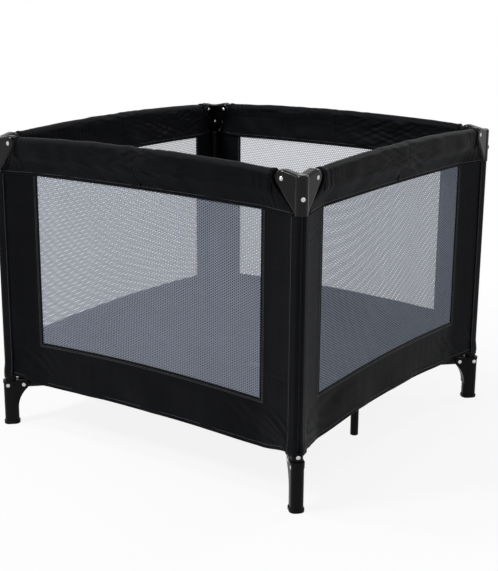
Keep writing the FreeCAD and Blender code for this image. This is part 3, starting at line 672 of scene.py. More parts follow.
def wall_relief(s, z, side, cloth):
    """Unevenness of the taut wall: soft billows, upright gathers, short level strains beside the
    posts, and the step of the binding round the window."""
    seed = 40 + SIDES.index(side)
    half, sill = WINDOW_HIGH[0], sill_line(s, side, cloth)
    beside = ease((np.abs(s) - half - 0.006) / 0.03)
    below = ease((sill - z - 0.006) / 0.03)
    inner = np.maximum(beside, below)
    billow = 0.0011 * waves(s, z, seed, 0.16) * below
    gather = 0.00012 * waves(s, z * 0.12, seed + 9, 0.05, 0.0, 0.4)
    strain = 0.0009 * ridges(s * 0.25, z, seed + 5, 0.016, math.pi / 2, 0.5) * beside
    strain = strain * (0.35 + 0.65 * ease((z - 0.56) / 0.09)) * (0.6 + 0.4 * waves(s * 0.4, z, seed + 7, 0.12))
    pull = 0.0009 * ridges(s, z, seed + 3, 0.05, math.pi / 3, 0.7) * below * ease((np.abs(s) - 0.2) / 0.15)
    return inner * (billow + gather + strain + pull)


def wall_grid(side, cloth):
    """The wall as one grid of (s, z): rows run from hem to sill and from sill to the rail cover,
    columns from sleeve to sleeve, with the window's cells cut away."""
    half = WINDOW_HIGH[0]
    s = np.r_[np.linspace(-SLEEVE_EDGE, -half, 27), np.linspace(-half, half, 153)[1:],
              np.linspace(half, SLEEVE_EDGE, 27)[1:]]
    low, high = np.linspace(0, 1, 29), np.linspace(0, 1, 111)[1:]
    hem, sill, top = hem_line(s, side, cloth), sill_line(s, side, cloth), WALL_HIGH[2] + 0.003
    z = np.concatenate([hem + (sill - hem) * low[:, None], sill + (top - sill) * high[:, None]])
    s = np.broadcast_to(s, z.shape)
    hem_band = 0.0005 * (1 - ease((z - hem - 0.011) / 0.002))
    edge = 0.0005 * (1 - ease((np.abs(s) - half - cloth.binding) / 0.0025)) * (z > sill)
    d = wall_line(s, cloth.inset) + wall_relief(s, z, side, cloth) + np.maximum(hem_band, edge)
    rub_and_highlight = 0.5 * np.exp(-((z - hem) / 0.02) ** 2) + 0.35 * ease((np.abs(s) - 0.39) / 0.04)
    centre = (s[:-1, :-1] + s[1:, 1:]) / 2
    hole = (np.abs(centre) < half) & (np.arange(z.shape[0] - 1)[:, None] >= len(low) - 1)
    points = to_side(np.stack([s, d, z], -1), side)
    area = abs(np.trapz(top - hem, s[0])) - abs(np.trapz(np.where(np.abs(s[0]) <= half, top - sill, 0), s[0]))
    return sheet_grid(points, across=s[0], hole=hole, rub_and_highlight=rub_and_highlight), float(area)


def window_path(side, cloth, out, grow=0.0):
    """The window's edge, down its left side, along the sill and up its right side, moved outwards from
    the window by grow."""
    half = WINDOW_HIGH[0] + grow
    top = WALL_HIGH[2] + 0.002
    sill = sill_line(np.array([half]), side, cloth)[0] - grow
    s = np.r_[np.full(90, -half), np.linspace(-half, half, 140)[1:-1], np.full(90, half)]
    z = np.r_[np.linspace(top, sill, 90), sill_line(np.linspace(-half, half, 140)[1:-1], side, cloth) - grow,
              np.linspace(sill, top, 90)]
    d = wall_line(s, cloth.inset) + out
    return to_side(np.stack([s, d, z], -1), side)


def wall_trim(side, cloth):
    """Piping on both faces of the window's edge, two rows of stitches beside it, and one row along the
    hem."""
    face = cloth.thickness / 2
    outward = direction_on(side, (0.0, 1.0, 0.0))
    grids = [cord_grid(window_path(side, cloth, face * 0.4, 0.0), cloth.piping)]
    for grow in (0.0042, cloth.binding - 0.0015):
        grids += stitch_grids(window_path(side, cloth, face + 0.0005, grow), outward, cloth.stitch, 1)
        grids += stitch_grids(window_path(side, cloth, -face + 0.0005, grow), -outward, cloth.stitch, 1)
    s = np.linspace(-SLEEVE_EDGE, SLEEVE_EDGE, 160)
    hem = np.stack([s, wall_line(s, cloth.inset) + face + 0.0006, hem_line(s, side, cloth) + 0.009], -1)
    grids += stitch_grids(to_side(hem, side), outward, cloth.stitch, 1)
    edge = np.stack([s, wall_line(s, cloth.inset) + 0.0004, hem_line(s, side, cloth) + 0.0006], -1)
    grids.append(cord_grid(to_side(edge, side), 0.0013))
    return grids


class PLAYPEN_OT_post_sleeves(bpy.types.Operator):
    """Sleeves: the doubled cloth at each end of a wall, wrapped round the outside of the post"""

    bl_idname = "playpen.post_sleeves"
    bl_label = "Post sleeves"

    def execute(self, context):
        cloth = context.scene.playpen_cloth
        woven, bound, thread = cloth_materials(context.scene)
        for side in SIDES:
            for hand, corner in ((-1, LEFT_POST[side]), (1, RIGHT_POST[side])):
                name = f"{'l' if hand < 0 else 'r'}_{side}"
                grid, flat = sleeve_grid(side, hand, cloth)
                sleeve = make_piece("post_sleeve_" + name, [grid], [woven])
                give_thickness(sleeve, cloth.thickness)
                trim = make_piece("sleeve_trim_" + name, sleeve_trim(side, hand, cloth), [bound, thread])
                for piece in (sleeve, trim):
                    hand_over(piece, "post_" + corner)
        return {"FINISHED"}




def sleeve_line(z, share, hand, cloth):
    """Where the sleeve lies across its width, from its sewn edge on the wall at share 0, straight to
    the post and then round it by the angle it wraps, at share 1."""
    radius = wrap_radius(z)
    straight = 0.0190
    arc = radius * (WRAP + SLANT)
    run = share * (straight + arc)
    turn = np.clip((run - straight) / radius, 0, None) - SLANT
    s = np.where(run < straight, -straight + run, 0) * math.cos(SLANT) - radius * math.sin(SLANT)
    d = np.where(run < straight, -straight + run, 0) * math.sin(SLANT) + radius * math.cos(SLANT)
    s = np.where(run < straight, s, radius * np.sin(turn))
    d = np.where(run < straight, d, radius * np.cos(turn))
    return hand * (HALF_SPAN + s), d + 0.0016 * (1 - share)


def sleeve_grid(side, hand, cloth):
    """The sleeve as a grid of height and width, from the hem to the cap, with short level strains that
    grow towards the rail cover."""
    share, rise = np.linspace(0, 1, 16), np.linspace(0, 1, 150)
    low, high = cloth.corner_hem - 0.002, WALL_HIGH[2] + 0.002
    z, share = np.meshgrid(low + (high - low) * rise, share, indexing="ij")
    s, d = sleeve_line(z, share, hand, cloth)
    seed = 70 + 2 * SIDES.index(side) + (hand > 0)
    strain = ridges(share * 0.01, z, seed, 0.02, math.pi / 2, 0.6) * (0.3 + 0.7 * ease((z - 0.5) / 0.15))
    d = d + 0.0005 * strain * np.sin(np.pi * np.clip(share * 1.4, 0, 1)) * (0.6 + 0.4 * waves(share * 0, z, seed, 0.1))
    # Evenly paler all over, and painted highlight on the crests of the strains near the rail cover.
    rub_and_highlight = 0.4 + 0.5 * np.clip(strain, 0, 1) * ease((z - 0.5) / 0.15)
    points = to_side(np.stack([s, d, z], -1), side)
    points, rub_and_highlight = (points, rub_and_highlight) if hand < 0 else (points[:, ::-1], rub_and_highlight[:, ::-1])
    points, rub_and_highlight = (points[:, ::-1], rub_and_highlight[:, ::-1]) if hand < 0 else (points[:, ::-1], rub_and_highlight[:, ::-1])
    width = np.linalg.norm(np.diff(points[75], axis=0), axis=1).sum()
    return sheet_grid(points, rub_and_highlight=rub_and_highlight), (float(width), float(high - low))


def sleeve_trim(side, hand, cloth):
    """A row of stitches where the sleeve is sewn to the wall, and the rolled edge where it ends round
    the post."""
    z = np.linspace(cloth.corner_hem, WALL_HIGH[2], 120)
    outward = direction_on(side, (0.0, 1.0, 0.0))
    s, d = sleeve_line(z, np.full(z.shape, 0.13), hand, cloth)
    seam = np.stack([s, d + cloth.thickness / 2 + 0.0003, z], -1)
    s, d = sleeve_line(z, np.full(z.shape, 0.985), hand, cloth)
    edge = np.stack([s, d + 0.0002, z], -1)
    return stitch_grids(to_side(seam, side), outward, cloth.stitch, 1) + [cord_grid(to_side(edge, side), 0.0012)]


class PLAYPEN_OT_net_panels(bpy.types.Operator):
    """Net panels: real netting in the four windows, every hole a hexagon"""

    bl_idname = "playpen.net_panels"
    bl_label = "Net panels"

    def execute(self, context):
        cloth, net = context.scene.playpen_cloth, context.scene.playpen_net
        yarn = knitted_net("knitted_polyester_net", net.colour)
        for side in SIDES:
            piece, area, flat = net_piece(f"net_{side}", side, cloth, net, yarn)
            hand_over(piece, "post_" + LEFT_POST[side], ["mesh_panel_" + side], wall_fold(side))
        return {"FINISHED"}


def net_piece(name, side, cloth, net, yarn):
    """Netting on a lattice of hexagons, one round each hole: every cell is the ring between its
    hexagon, along the middle of the strands, and the same hexagon drawn in by the square root of
    the open share.  The knit runs upright at the front and the right, and level at the other two."""
    pitch, under = net.pitch, 0.005
    upright = side in ("front", "right")
    row = pitch * math.sqrt(3) / 2
    half, top = WINDOW_HIGH[0], WALL_HIGH[2] + 0.007
    lowest = sill_line(np.array([half]), side, cloth)[0] - under
    across, along = (row, pitch) if upright else (pitch, row)
    columns = int(2 * (half + under) / across)
    rows = int((top - lowest) / along) + 1
    i, j = np.meshgrid(np.arange(columns), np.arange(rows))
    s = (i - (columns - 1) / 2) * across
    z = lowest + j * along
    if upright:
        z = z + (i % 2) * pitch / 2
    else:
        s = s + (j % 2 - 0.5) * pitch / 2
    inside = (z > sill_line(s, side, cloth) - under) & (z < top)
    centres = np.stack([s[inside], z[inside]], -1)
    corner = np.radians(np.arange(6) * 60 + (0 if upright else 30))
    outer = np.stack([np.cos(corner), np.sin(corner)], -1) * pitch / math.sqrt(3)
    inner = outer * math.sqrt(net.open_share)
    flat = np.concatenate([centres[:, None] + outer, centres[:, None] + inner], 1)
    where = flat.reshape(-1, 2)
    height = np.tile(np.r_[np.full(6, net.relief), np.full(6, -net.relief)], len(centres))
    order = np.arange(6)
    after = (order + 1) % 6
    ring = np.stack([order, after, after + 6, order + 6], -1)
    faces = (np.arange(len(centres))[:, None, None] * 12 + ring).reshape(-1, 4)
    key = np.round(where * 2e5).astype(np.int64) @ np.array([1, 1 << 24])
    _, first, back = np.unique(key, return_index=True, return_inverse=True)
    where, height, faces = where[first], height[first], back[faces]
    d = wall_line(where[:, 0], cloth.inset) + height
    points = to_side(np.stack([where[:, 0], d, where[:, 1]], -1), side)
    mesh = bpy.data.meshes.new(name)
    mesh.vertices.add(len(points))
    mesh.vertices.foreach_set("co", points.astype(np.float32).ravel())
    mesh.loops.add(faces.size)
    mesh.loops.foreach_set("vertex_index", faces.astype(np.int32).ravel())
    mesh.polygons.add(len(faces))
    mesh.polygons.foreach_set("loop_start", np.arange(0, faces.size, 4, dtype=np.int32))
    mesh.update(calc_edges=True)
    mesh.polygons.foreach_set("use_smooth", np.ones(len(faces), bool))
    mesh.materials.append(yarn)
    piece = bpy.data.objects.new(name, mesh)
    bpy.context.scene.collection.objects.link(piece)
    width, length = 2 * (half + under), top - lowest
    solid_share = 1 - net.open_share
    return piece, float(len(centres) * row * pitch * solid_share), (width, length)


# ---- rail covers -----------------------------------------------------------------------------
def cover_top(s, cover):
    """Height of the cover's crown: level over the rail and bowed up over the latch, less with the
    square of the distance."""
    reach = HALF_SPAN - COVER_OFF
    return COVER_HIGH[2] - 0.002 + cover.bow * np.clip(1 - (s / reach) ** 2, 0, 1)


def cover_base(s):
    """Height of the cover's lower seam: level at its ends and raised a little over the middle of the
    side."""
    return COVER_LOW[2] + 0.0045 * np.clip(1 - (s / (HALF_SPAN - COVER_OFF)) ** 2, 0, 1)


def cover_section(s, z, cloth, cover):
    """Middle line and half thickness of the padded cover at a height: full over the rail, and drawn to
    the wall's line and the seam's thickness below it."""
    start = RAIL_Z - 0.021
    lean = ease((start - z) / (start - cover_base(s) - 0.004))
    middle = (wall_line(s, cloth.inset) - 0.0005) * lean
    half = cover.radius + (cover.seam - cover.radius) * lean
    return middle, half


def cover_relief(s, z, side, cover):
    """Creases of the cover: slanting ones that fan out from the latch, a long level fold a third of
    the way down, and soft unevenness of the wadding."""
    seed = 10 * SIDES.index(side) + 3
    middle = np.exp(-(s / 0.17) ** 2)
    ends = ease((np.abs(s) - 0.27) / 0.1)
    slant = ridges(s, z * 1.6, seed, 0.052, math.radians(62), 0.55) + ridges(s, z * 1.6, seed + 1, 0.045,
                                                                           math.radians(-66), 0.45) * 0.5
    upright = ridges(s, z, seed + 2, 0.035, 0.15, 0.5)
    level = np.exp(-((z - RAIL_Z + 0.012 - 0.004 * waves(s, 0 * s, seed + 3, 0.2)) / 0.0028) ** 2)
    soft = waves(s, z, seed + 4, 0.085)
    return cover.crease * (0.42 * slant * middle + 0.20 * upright * ends + 0.30 * soft - 0.38 * level)


def cover_shell(s, side, cloth, cover, seal):
    """The cover as a closed tube: for each place along the rail, up the outer face, over the round
    crown, down the inner face and round the lower seam; the sealed ends are drawn in to a line."""
    rise = np.linspace(0, 1, 30)
    top = cover_top(s, cover)[:, None]
    base = cover_base(s)[:, None]
    shoulder = top - cover.radius
    z_face = base + (shoulder - base) * rise
    here = np.broadcast_to(s[:, None], z_face.shape)
    middle, half = cover_section(here, z_face, cloth, cover)
    turn = np.linspace(0, np.pi, 15)[1:-1]
    crown_d, crown_z = cover.radius * np.cos(turn), shoulder + cover.radius * np.sin(turn)
    sole = np.linspace(np.pi, 2 * np.pi, 6)[1:-1]
    sole_d = middle[:, :1] + half[:, :1] * np.cos(sole)
    sole_z = base + half[:, :1] * np.sin(sole) * 0.6
    d = np.concatenate([middle + half, np.broadcast_to(crown_d, crown_z.shape), (middle - half)[:, ::-1], sole_d], 1)
    z = np.concatenate([z_face, crown_z, z_face[:, ::-1], sole_z], 1)
    count = len(rise)
    out_d = np.r_[np.ones(count), np.cos(turn), -np.ones(count), np.cos(sole)]
    out_z = np.r_[np.zeros(count), np.sin(turn), np.zeros(count), np.sin(sole)]
    here = np.broadcast_to(s[:, None], d.shape)
    inner = np.where(np.arange(d.shape[1]) > count + len(turn), 0.21, 0.0)
    relief = cover_relief(here + inner, z, side, cover) * ease((z - base - 0.002) / 0.012)
    crown = np.broadcast_to(out_z > 0.5, relief.shape)
    relief = np.where(crown, relief * 0.6, relief)
    d, z = d + relief * out_d, z + relief * out_z * 0.7
    # Painted sheen along the top of the cover above the rail, and painted highlight on the crests of the creases.
    rub_and_highlight = 0.9 * ease((z - RAIL_Z - 0.006) / 0.02) + 0.5 * np.clip(relief / cover.crease, 0, 1)
    points = np.stack([here, d, z], -1)
    points = np.concatenate([points, points[:, :1]], 1)
    rub_and_highlight = np.concatenate([rub_and_highlight, rub_and_highlight[:, :1]], 1)
    spine = np.stack([here[:, 0], middle[:, -1], (top + base)[:, 0] / 2], -1)[:, None]
    shrink = np.array([1.0, 0.97, 0.86, 0.55, 0.0])
    rows = [points]
    for end in seal:
        rings = spine[end] + (points[end][None] - spine[end]) * shrink[1:, None, None]
        rows = [rings[::-1], *rows] if end == 0 else [*rows, rings]
    points = np.concatenate(rows)
    extra = len(points) - len(rub_and_highlight)
    rub_and_highlight = np.pad(rub_and_highlight, ((extra // 2 if 0 in seal else 0, extra - (extra // 2 if 0 in seal else 0)), (0, 0)), "edge")
    return points, rub_and_highlight


class PLAYPEN_OT_rail_covers(bpy.types.Operator):
    """Rail covers: padded sleeves over both halves of each rail, with piping, creases and a stitched
    lower seam"""

    bl_idname = "playpen.rail_covers"
    bl_label = "Rail covers"

    def execute(self, context):
        cloth, cover = context.scene.playpen_cloth, context.scene.playpen_cover
        materials = cloth_materials(context.scene)
        for side in SIDES:
            for hand, name in ((-1, "l_" + side), (1, "r_" + side)):
                piece = make_piece("cover_" + name, cover_grids(side, hand, cloth, cover), materials)
                anchor = to_side(np.array([0.0, 0.0, RAIL_Z]), side)
                hand_over(piece, "rail_" + name, ["rail_cover_" + name],
                          {"axis": (0, 0, 1), "anchor": tuple(anchor), "keep": 0.3})
        return {"FINISHED"}


def outward_rows(points, hand):
    """Rows in the order that turns a left-hand or a right-hand piece's faces outwards."""
    return points if hand < 0 else points[::-1]


def cover_grids(side, hand, cloth, cover):
    """One half of a rail's cover: the padded shell, its end piping over the crown, and the bead and
    stitches of the lower seam."""
    s = hand * np.linspace(0.00025, HALF_SPAN - COVER_OFF, 118)
    points, rub_and_highlight = cover_shell(s, side, cloth, cover, (0, -1))
    points, rub_and_highlight = outward_rows(points, hand), outward_rows(rub_and_highlight, hand)
    grids = [sheet_grid(to_side(points, side), rub_and_highlight=rub_and_highlight)]
    for back, radius in ((0.0018, cloth.piping), (0.0068, cloth.piping * 0.7)):
        loop, _ = cover_shell(np.array([hand * (HALF_SPAN - COVER_OFF - back)] * 2), side, cloth, cover, ())
        path = loop[0, 8:66]
        centre = np.array([path[0, 0], 0.0, RAIL_Z])
        path = path + unit(path - centre) * 0.0003
        path = path[path[:, 2] > cap_edge(COVER_OFF - 0.0005) - 0.03]
        grids.append(cord_grid(to_side(path, side), radius, 1))
    grids += seam_grids(s, side, cloth, cover)
    return grids


def seam_grids(s, side, cloth, cover):
    """Lower seam of a cover: a corded bead under the edge and a row of stitches above it, on both faces."""
    low = cover_base(s)
    middle, half = cover_section(s, low, cloth, cover)
    grids = []
    for face in (1, -1):
        bead = np.stack([s, middle + face * (half + 0.0002), low + 0.0012], -1)
        grids.append(cord_grid(to_side(bead, side), 0.0012, 1))
        above = low + 0.0072
        line, thick = cover_section(s, above, cloth, cover)
        row = np.stack([s, line + face * (thick + 0.0002), above], -1)
        grids += stitch_grids(to_side(row, side), direction_on(side, (0.0, float(face), 0.0)), cloth.stitch, 2)
    return grids


class PLAYPEN_OT_corner_covers(bpy.types.Operator):
    """Corner covers: the end of each rail cover below the cap, cut to the cap's edge and piped twice"""

    bl_idname = "playpen.corner_covers"
    bl_label = "Corner covers"

    def execute(self, context):
        cloth, cover = context.scene.playpen_cloth, context.scene.playpen_cover
        materials = cloth_materials(context.scene)
        for side in SIDES:
            for hand, corner in ((-1, LEFT_POST[side]), (1, RIGHT_POST[side])):
                name = f"corner_cover_{'l' if hand < 0 else 'r'}_{side}"
                piece = make_piece(name, corner_grids(side, hand, cloth, cover), materials)
                hand_over(piece, "post_" + corner)
        return {"FINISHED"}


def corner_grids(side, hand, cloth, cover):
    """The end of a cover below the cap: its outer and inner faces run on from the cover, up to the
    cap's edge, and close over that edge."""
    off = np.linspace(COVER_OFF - 0.0003, 0.0125, 34)
    s = hand * (HALF_SPAN - off)
    rise = np.linspace(0, 1, 26)
    base, edge = COVER_LOW[2], np.maximum(cap_edge(off) - 0.0008, COVER_LOW[2] + 0.0016)
    z = base + (edge - base)[:, None] * rise
    here = np.broadcast_to(s[:, None], z.shape)
    middle, half = cover_section(here, z, cloth, cover)
    thin = 1 - 0.35 * ease((COVER_OFF - off) / (COVER_OFF - 0.02))[:, None]
    half = half * thin
    relief = cover_relief(here, z, side, cover) * ease((z - base - 0.002) / 0.012) * 0.8
    outer, inner = middle + half + relief, middle - half - cover_relief(here + 0.21, z, side, cover) * 0.5 * ease(
        (z - base - 0.002) / 0.012)
    bridge = np.linspace(0, 1, 7)[1:-1]
    over = outer[:, -1:] + (inner[:, -1:] - outer[:, -1:]) * bridge
    over_z = z[:, -1:] + 0.0012 * np.sin(np.pi * bridge)
    under = inner[:, :1] + (outer[:, :1] - inner[:, :1]) * bridge
    under_z = z[:, :1] - 0.0012 * np.sin(np.pi * bridge)
    d = np.concatenate([outer, over, inner[:, ::-1], under, outer[:, :1]], 1)
    heights = np.concatenate([z, over_z, z[:, ::-1], under_z, z[:, :1]], 1)
    points = np.stack([np.broadcast_to(s[:, None], d.shape), d, heights], -1)
    first, last = points[:1].mean(1, keepdims=True), points[-1:].mean(1, keepdims=True)
    points = np.concatenate([np.repeat(first, points.shape[1], 1), points, np.repeat(last, points.shape[1], 1)])
    rub_and_highlight = np.full(points.shape[:2], 0.25)
    points = outward_rows(points, hand)
    grids = [sheet_grid(to_side(points, side), rub_and_highlight=rub_and_highlight)]
    for drop, radius in ((0.0014, cloth.piping), (0.0062, cloth.piping * 0.7)):
        line = cap_edge(off) - 0.0008 - drop
        kept = line > base + 0.002
        middle, half = cover_section(s, line, cloth, cover)
        half = half * thin[:, 0]
        for face in (1, -1):
            path = np.stack([s, middle + face * (half + 0.0004), line], -1)[kept]
            grids.append(cord_grid(to_side(path, side), radius, 1))
    grids += seam_grids(s, side, cloth, cover)
    return grids


# ---- floor and strap -------------------------------------------------------------------------
class PLAYPEN_OT_floor_quarters(bpy.types.Operator):
    """Floor: four quilted quarters, one over each base tube, open in the middle for the strap"""

    bl_idname = "playpen.floor_quarters"
    bl_label = "Quilted floor"

    def execute(self, context):
        floor, cloth = context.scene.playpen_floor, context.scene.playpen_cloth
        _, bound, thread = cloth_materials(context.scene)
        quilt = woven_polyester("quilted_polyester", floor.colour, cloth.rubbed_and_highlit, cloth.weave, (0.6, 0.82), 0.05)
        for corner in CORNERS:
            grids = floor_grids(corner, floor, cloth)
            piece = make_piece("floor_" + corner, grids, [quilt, bound, thread])
            toward = np.sign(middle_of("post_tube_" + corner)[:2])
            across = np.array([-toward[1], toward[0], 0.0]) / math.sqrt(2)
            stands_for = ["floor_pad"] if corner == CORNERS[0] else []
            hand_over(piece, "base_" + corner, stands_for,
                      {"axis": tuple(across), "anchor": (0.0, 0.0, FLOOR_LOW[2]), "keep": 0.18})
        return {"FINISHED"}


def floor_reach(b, cloth):
    """How far a quarter of the floor reaches from the middle: to the wall's inner face, and round the
    post in a notch."""
    wall = HALF_SPAN + wall_line(b, cloth.inset) - cloth.thickness / 2 - 0.0006
    gap = NOTCH_R ** 2 - (HALF_SPAN - b) ** 2
    return np.minimum(wall, np.where(gap > 0, HALF_SPAN - np.sqrt(np.maximum(gap, 0)), np.inf))


def floor_grids(corner, floor, cloth):
    """One quarter of the floor: a square grid stretched to the walls, notched round the post and
    pushed out of the strap's opening; its top dips along a square quilting by the root of the
    sines, its outer edge rises to where it is sewn to the walls, and it closes round a rolled edge."""
    toward = np.sign(middle_of("post_tube_" + corner)[:2])
    reach = HALF_SPAN - NOTCH_R / math.sqrt(2)
    edge = np.array([0.0, 0.0006, 0.0018, 0.004])
    line = np.r_[edge, np.linspace(0.006, reach - 0.006, 150), reach - edge[::-1]]
    a, b = np.meshgrid(line, line)
    rim_a, rim_b = (np.sqrt(1 - (1 - np.clip(np.minimum(v, reach - v) / 0.004, 0, 1)) ** 2) for v in (a, b))
    dip = 1 - np.sqrt(np.abs(np.sin(np.pi * a / floor.quilt) * np.sin(np.pi * b / floor.quilt)))
    middle, half = (FLOOR_LOW[2] + FLOOR_HIGH[2]) / 2, (FLOOR_HIGH[2] - FLOOR_LOW[2]) / 2
    seed = 120 + CORNERS.index(corner)
    crown = half - floor.dip * dip - 0.0002 * (1 + waves(a, b, seed, 0.09)).clip(0, 2)
    radius = np.hypot(a, b)
    push = np.maximum(radius, floor.opening) / np.maximum(radius, 1e-9)
    x = np.where(radius < 1e-6, floor.opening / math.sqrt(2), a * push * floor_reach(b, cloth) / reach)
    y = np.where(radius < 1e-6, floor.opening / math.sqrt(2), b * push * floor_reach(a, cloth) / reach)
    sewn = [hem_line(v, side, cloth) + 0.003 - FLOOR_LOW[2] for v, side in (
        (b, "right" if toward[0] > 0 else "left"), (a, "rear" if toward[1] > 0 else "front"))]
    lift = np.maximum(sewn[0] * ease((a - reach + 0.05) / 0.05), sewn[1] * ease((b - reach + 0.05) / 0.05))
    level = middle + np.maximum(lift, 0)
    top = np.stack([x * toward[0], y * toward[1], level + crown * rim_a * rim_b], -1)
    bottom = np.stack([x * toward[0], y * toward[1], level - half * 0.9 * rim_a * rim_b], -1)
    upright = toward[0] * toward[1] > 0
    # Painted shade: darker along the quilting dips, paler on the puffs between them.
    rub_and_highlight = 0.35 * (1 - dip)
    return [sheet_grid(top if upright else top[:, ::-1], across=line, along=line, rub_and_highlight=rub_and_highlight),
            sheet_grid(bottom[:, ::-1] if upright else bottom, across=line, along=line)]


class PLAYPEN_OT_pull_strap(bpy.types.Operator):
    """Pull strap: ribbed webbing sewn into a loop, from the hub up through the floor"""

    bl_idname = "playpen.pull_strap"
    bl_label = "Pull strap"

    def execute(self, context):
        cloth = context.scene.playpen_cloth
        _, _, thread = cloth_materials(context.scene)
        webbing = ribbed_webbing("polypropylene_webbing", linear("232427"), 0.0016)
        low, high = np.array(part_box("pull_strap"))
        length, half = high[0] - low[0] - 0.002, (high[1] - low[1]) / 2 - 0.0003
        strap = make_piece("strap", [strap_grid(length, half, high[2])], [webbing])
        rows = [np.stack([np.full(12, share * length), np.linspace(-0.8, 0.8, 12) * half,
                          np.full(12, high[2] - 0.0004)], -1) for share in (0.60, 0.64, 0.78)]
        stitches = [g for row in rows for g in stitch_grids(row, (0, 0, 1), 0.0024, 0)]
        sewn = make_piece("strap_stitching", stitches, [thread])
        for piece in (strap, sewn):
            hand_over(piece, "hub", squash={"axis": (1, 0, 0), "anchor": (0.0, 0.0, HUB_TOP), "keep": 0.3})
        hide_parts("pull_strap")
        return {"FINISHED"}


def strap_grid(length, half, top):
    """The strap as a flattened tube: it leaves the hub, eases up onto the floor, lies flat and lifts a
    little at its sewn end."""
    u = np.linspace(0, 1, 70)
    z = HUB_TOP + 0.0012 + (top - 0.0012 - HUB_TOP) * ease(u / 0.07) + 0.0035 * ease((u - 0.8) / 0.2) ** 2
    turn = np.linspace(0, 2 * np.pi, 25)
    across = half * np.sign(np.cos(turn)) * np.abs(np.cos(turn)) ** 0.35
    thick = 0.0008 * np.sign(np.sin(turn)) * np.abs(np.sin(turn)) ** 0.6
    x = 0.0008 + length * u
    points = np.stack(np.broadcast_arrays(x[:, None], across, z[:, None] + thick), -1)
    ends = [np.repeat(points[i][None].mean(1, keepdims=True), len(turn), 1) for i in (0, -1)]
    return sheet_grid(np.concatenate([ends[0], points, ends[1]])[:, ::-1])


# ---- frame -----------------------------------------------------------------------------------
class PLAYPEN_OT_frame_finish(bpy.types.Operator):
    """Frame finish: gloss, satin, powder coat and zinc on the frame's own pieces"""

    bl_idname = "playpen.frame_finish"
    bl_label = "Frame finish"

    def execute(self, context):
        parts = context.scene.playpen_hardware
        cap = moulded_plastic("gloss_abs", parts.gloss, 0.14, 0.0022, 0.02, 0.2, 0.08)
        foot = moulded_plastic("satin_polypropylene", parts.satin, 0.32, 0.0011, 0.2, 0.07, 0.2)
        matt = moulded_plastic("matt_nylon", parts.satin, 0.5, 0.0009, 0.3, 0.07, 0.15)
        button = moulded_plastic("button_nylon", linear("3c3d40"), 0.42, 0.0009, 0.25, 0.45, 0.15)
        paint = powder_coat("powder_coated_steel", parts.paint)
        zinc = zinc_plate("zinc_plated_steel", parts.zinc)
        finishes = (("corner_cap", cap), ("corner_rivets", zinc), ("hub_rivets", zinc), ("foot", foot),
                    ("latch_button", button), ("latch", matt), ("hub_body", matt), ("support_leg", foot),
                    ("support_arm", paint), ("middle_leg", foot), ("post_tube", paint), ("rail_tube", paint),
                    ("base_tube", paint))
        for name, node in frame["nodes"].items():
            finish = next((f for start, f in finishes if name.startswith(start)), None)
            if finish is None:
                continue
            for place in node.material_slots:
                place.material = finish
        return {"FINISHED"}


# ---- stage -----------------------------------------------------------------------------------
class PLAYPEN_OT_studio(bpy.types.Operator):
    """Studio: pale floor, soft lamps and the camera"""

    bl_idname = "playpen.studio"
    bl_label = "Studio"

    def execute(self, context):
        studio = context.scene.playpen_studio
        stage_floor()
        light_world(context.scene, studio.sky)
        add_lamp("key", (-1.3, -2.6, 3.3), (0, 0, 0.45), 0.75, studio.key)
        add_lamp("top", (-0.9, -0.85, 3.3), (0, 0, 0.4), 0.5, studio.key * 0.35)
        add_lamp("rim", (0.95, 2.1, 2.4), (0, 0, 0.6), 0.5, studio.key * 0.2)
        add_lamp("fill", (3.4, -0.6, 1.9), (0, 0, 0.4), 2.0, studio.fill)
        add_camera(context.scene, studio)
        return {"FINISHED"}


def seen_directly(tree):
    """One for the rays that carry the background: straight from the camera, or by way of gloss or glass."""
    path = add(tree, "ShaderNodeLightPath").outputs
    gloss = add(tree, "ShaderNodeMath", {0: path["Is Glossy Ray"], 1: path["Is Transmission Ray"]}, operation="MAXIMUM")
    return add(tree, "ShaderNodeMath", {0: path["Is Camera Ray"], 1: gloss.outputs[0]}, operation="MAXIMUM").outputs[0]


def stage_floor():
    """A wide round floor: rings of points, level.  It is pale paper that shows white, and keeps a soft
    part of the shadow close to the object."""
    angle = np.linspace(0, 2 * np.pi, 97)
    radius = np.array([0.0, 0.8, 1.6, 3.0, 7.0])
    points = np.stack([radius[:, None] * np.cos(angle), radius[:, None] * np.sin(angle), np.zeros((5, 97)) - 0.0002], -1)
    material, tree, shader = new_material("pale_paper", Base_Color=(0.86, 0.86, 0.86, 1), Roughness=0.9)
    place = add(tree, "ShaderNodeTexCoord").outputs["Object"]
    far = add(tree, "ShaderNodeVectorMath", {0: place}, operation="LENGTH").outputs["Value"]
    clear = add(tree, "ShaderNodeMapRange", {"Value": far, "From Min": 0.75, "From Max": 1.7, "To Min": 0.88,
                                             "To Max": 1.0}).outputs["Result"]
    share = add(tree, "ShaderNodeMath", {0: seen_directly(tree), 1: clear}, operation="MULTIPLY").outputs[0]
    white = add(tree, "ShaderNodeEmission", {"Color": (1, 1, 1, 1), "Strength": 1.0})
    both = add(tree, "ShaderNodeMixShader", {0: share, 1: shader.outputs[0], 2: white.outputs[0]})
    output = next(n for n in tree.nodes if n.type == "OUTPUT_MATERIAL")
    tree.links.new(both.outputs[0], output.inputs["Surface"])
    floor = make_piece("stage_floor", [sheet_grid(points[:, ::-1])], [material])


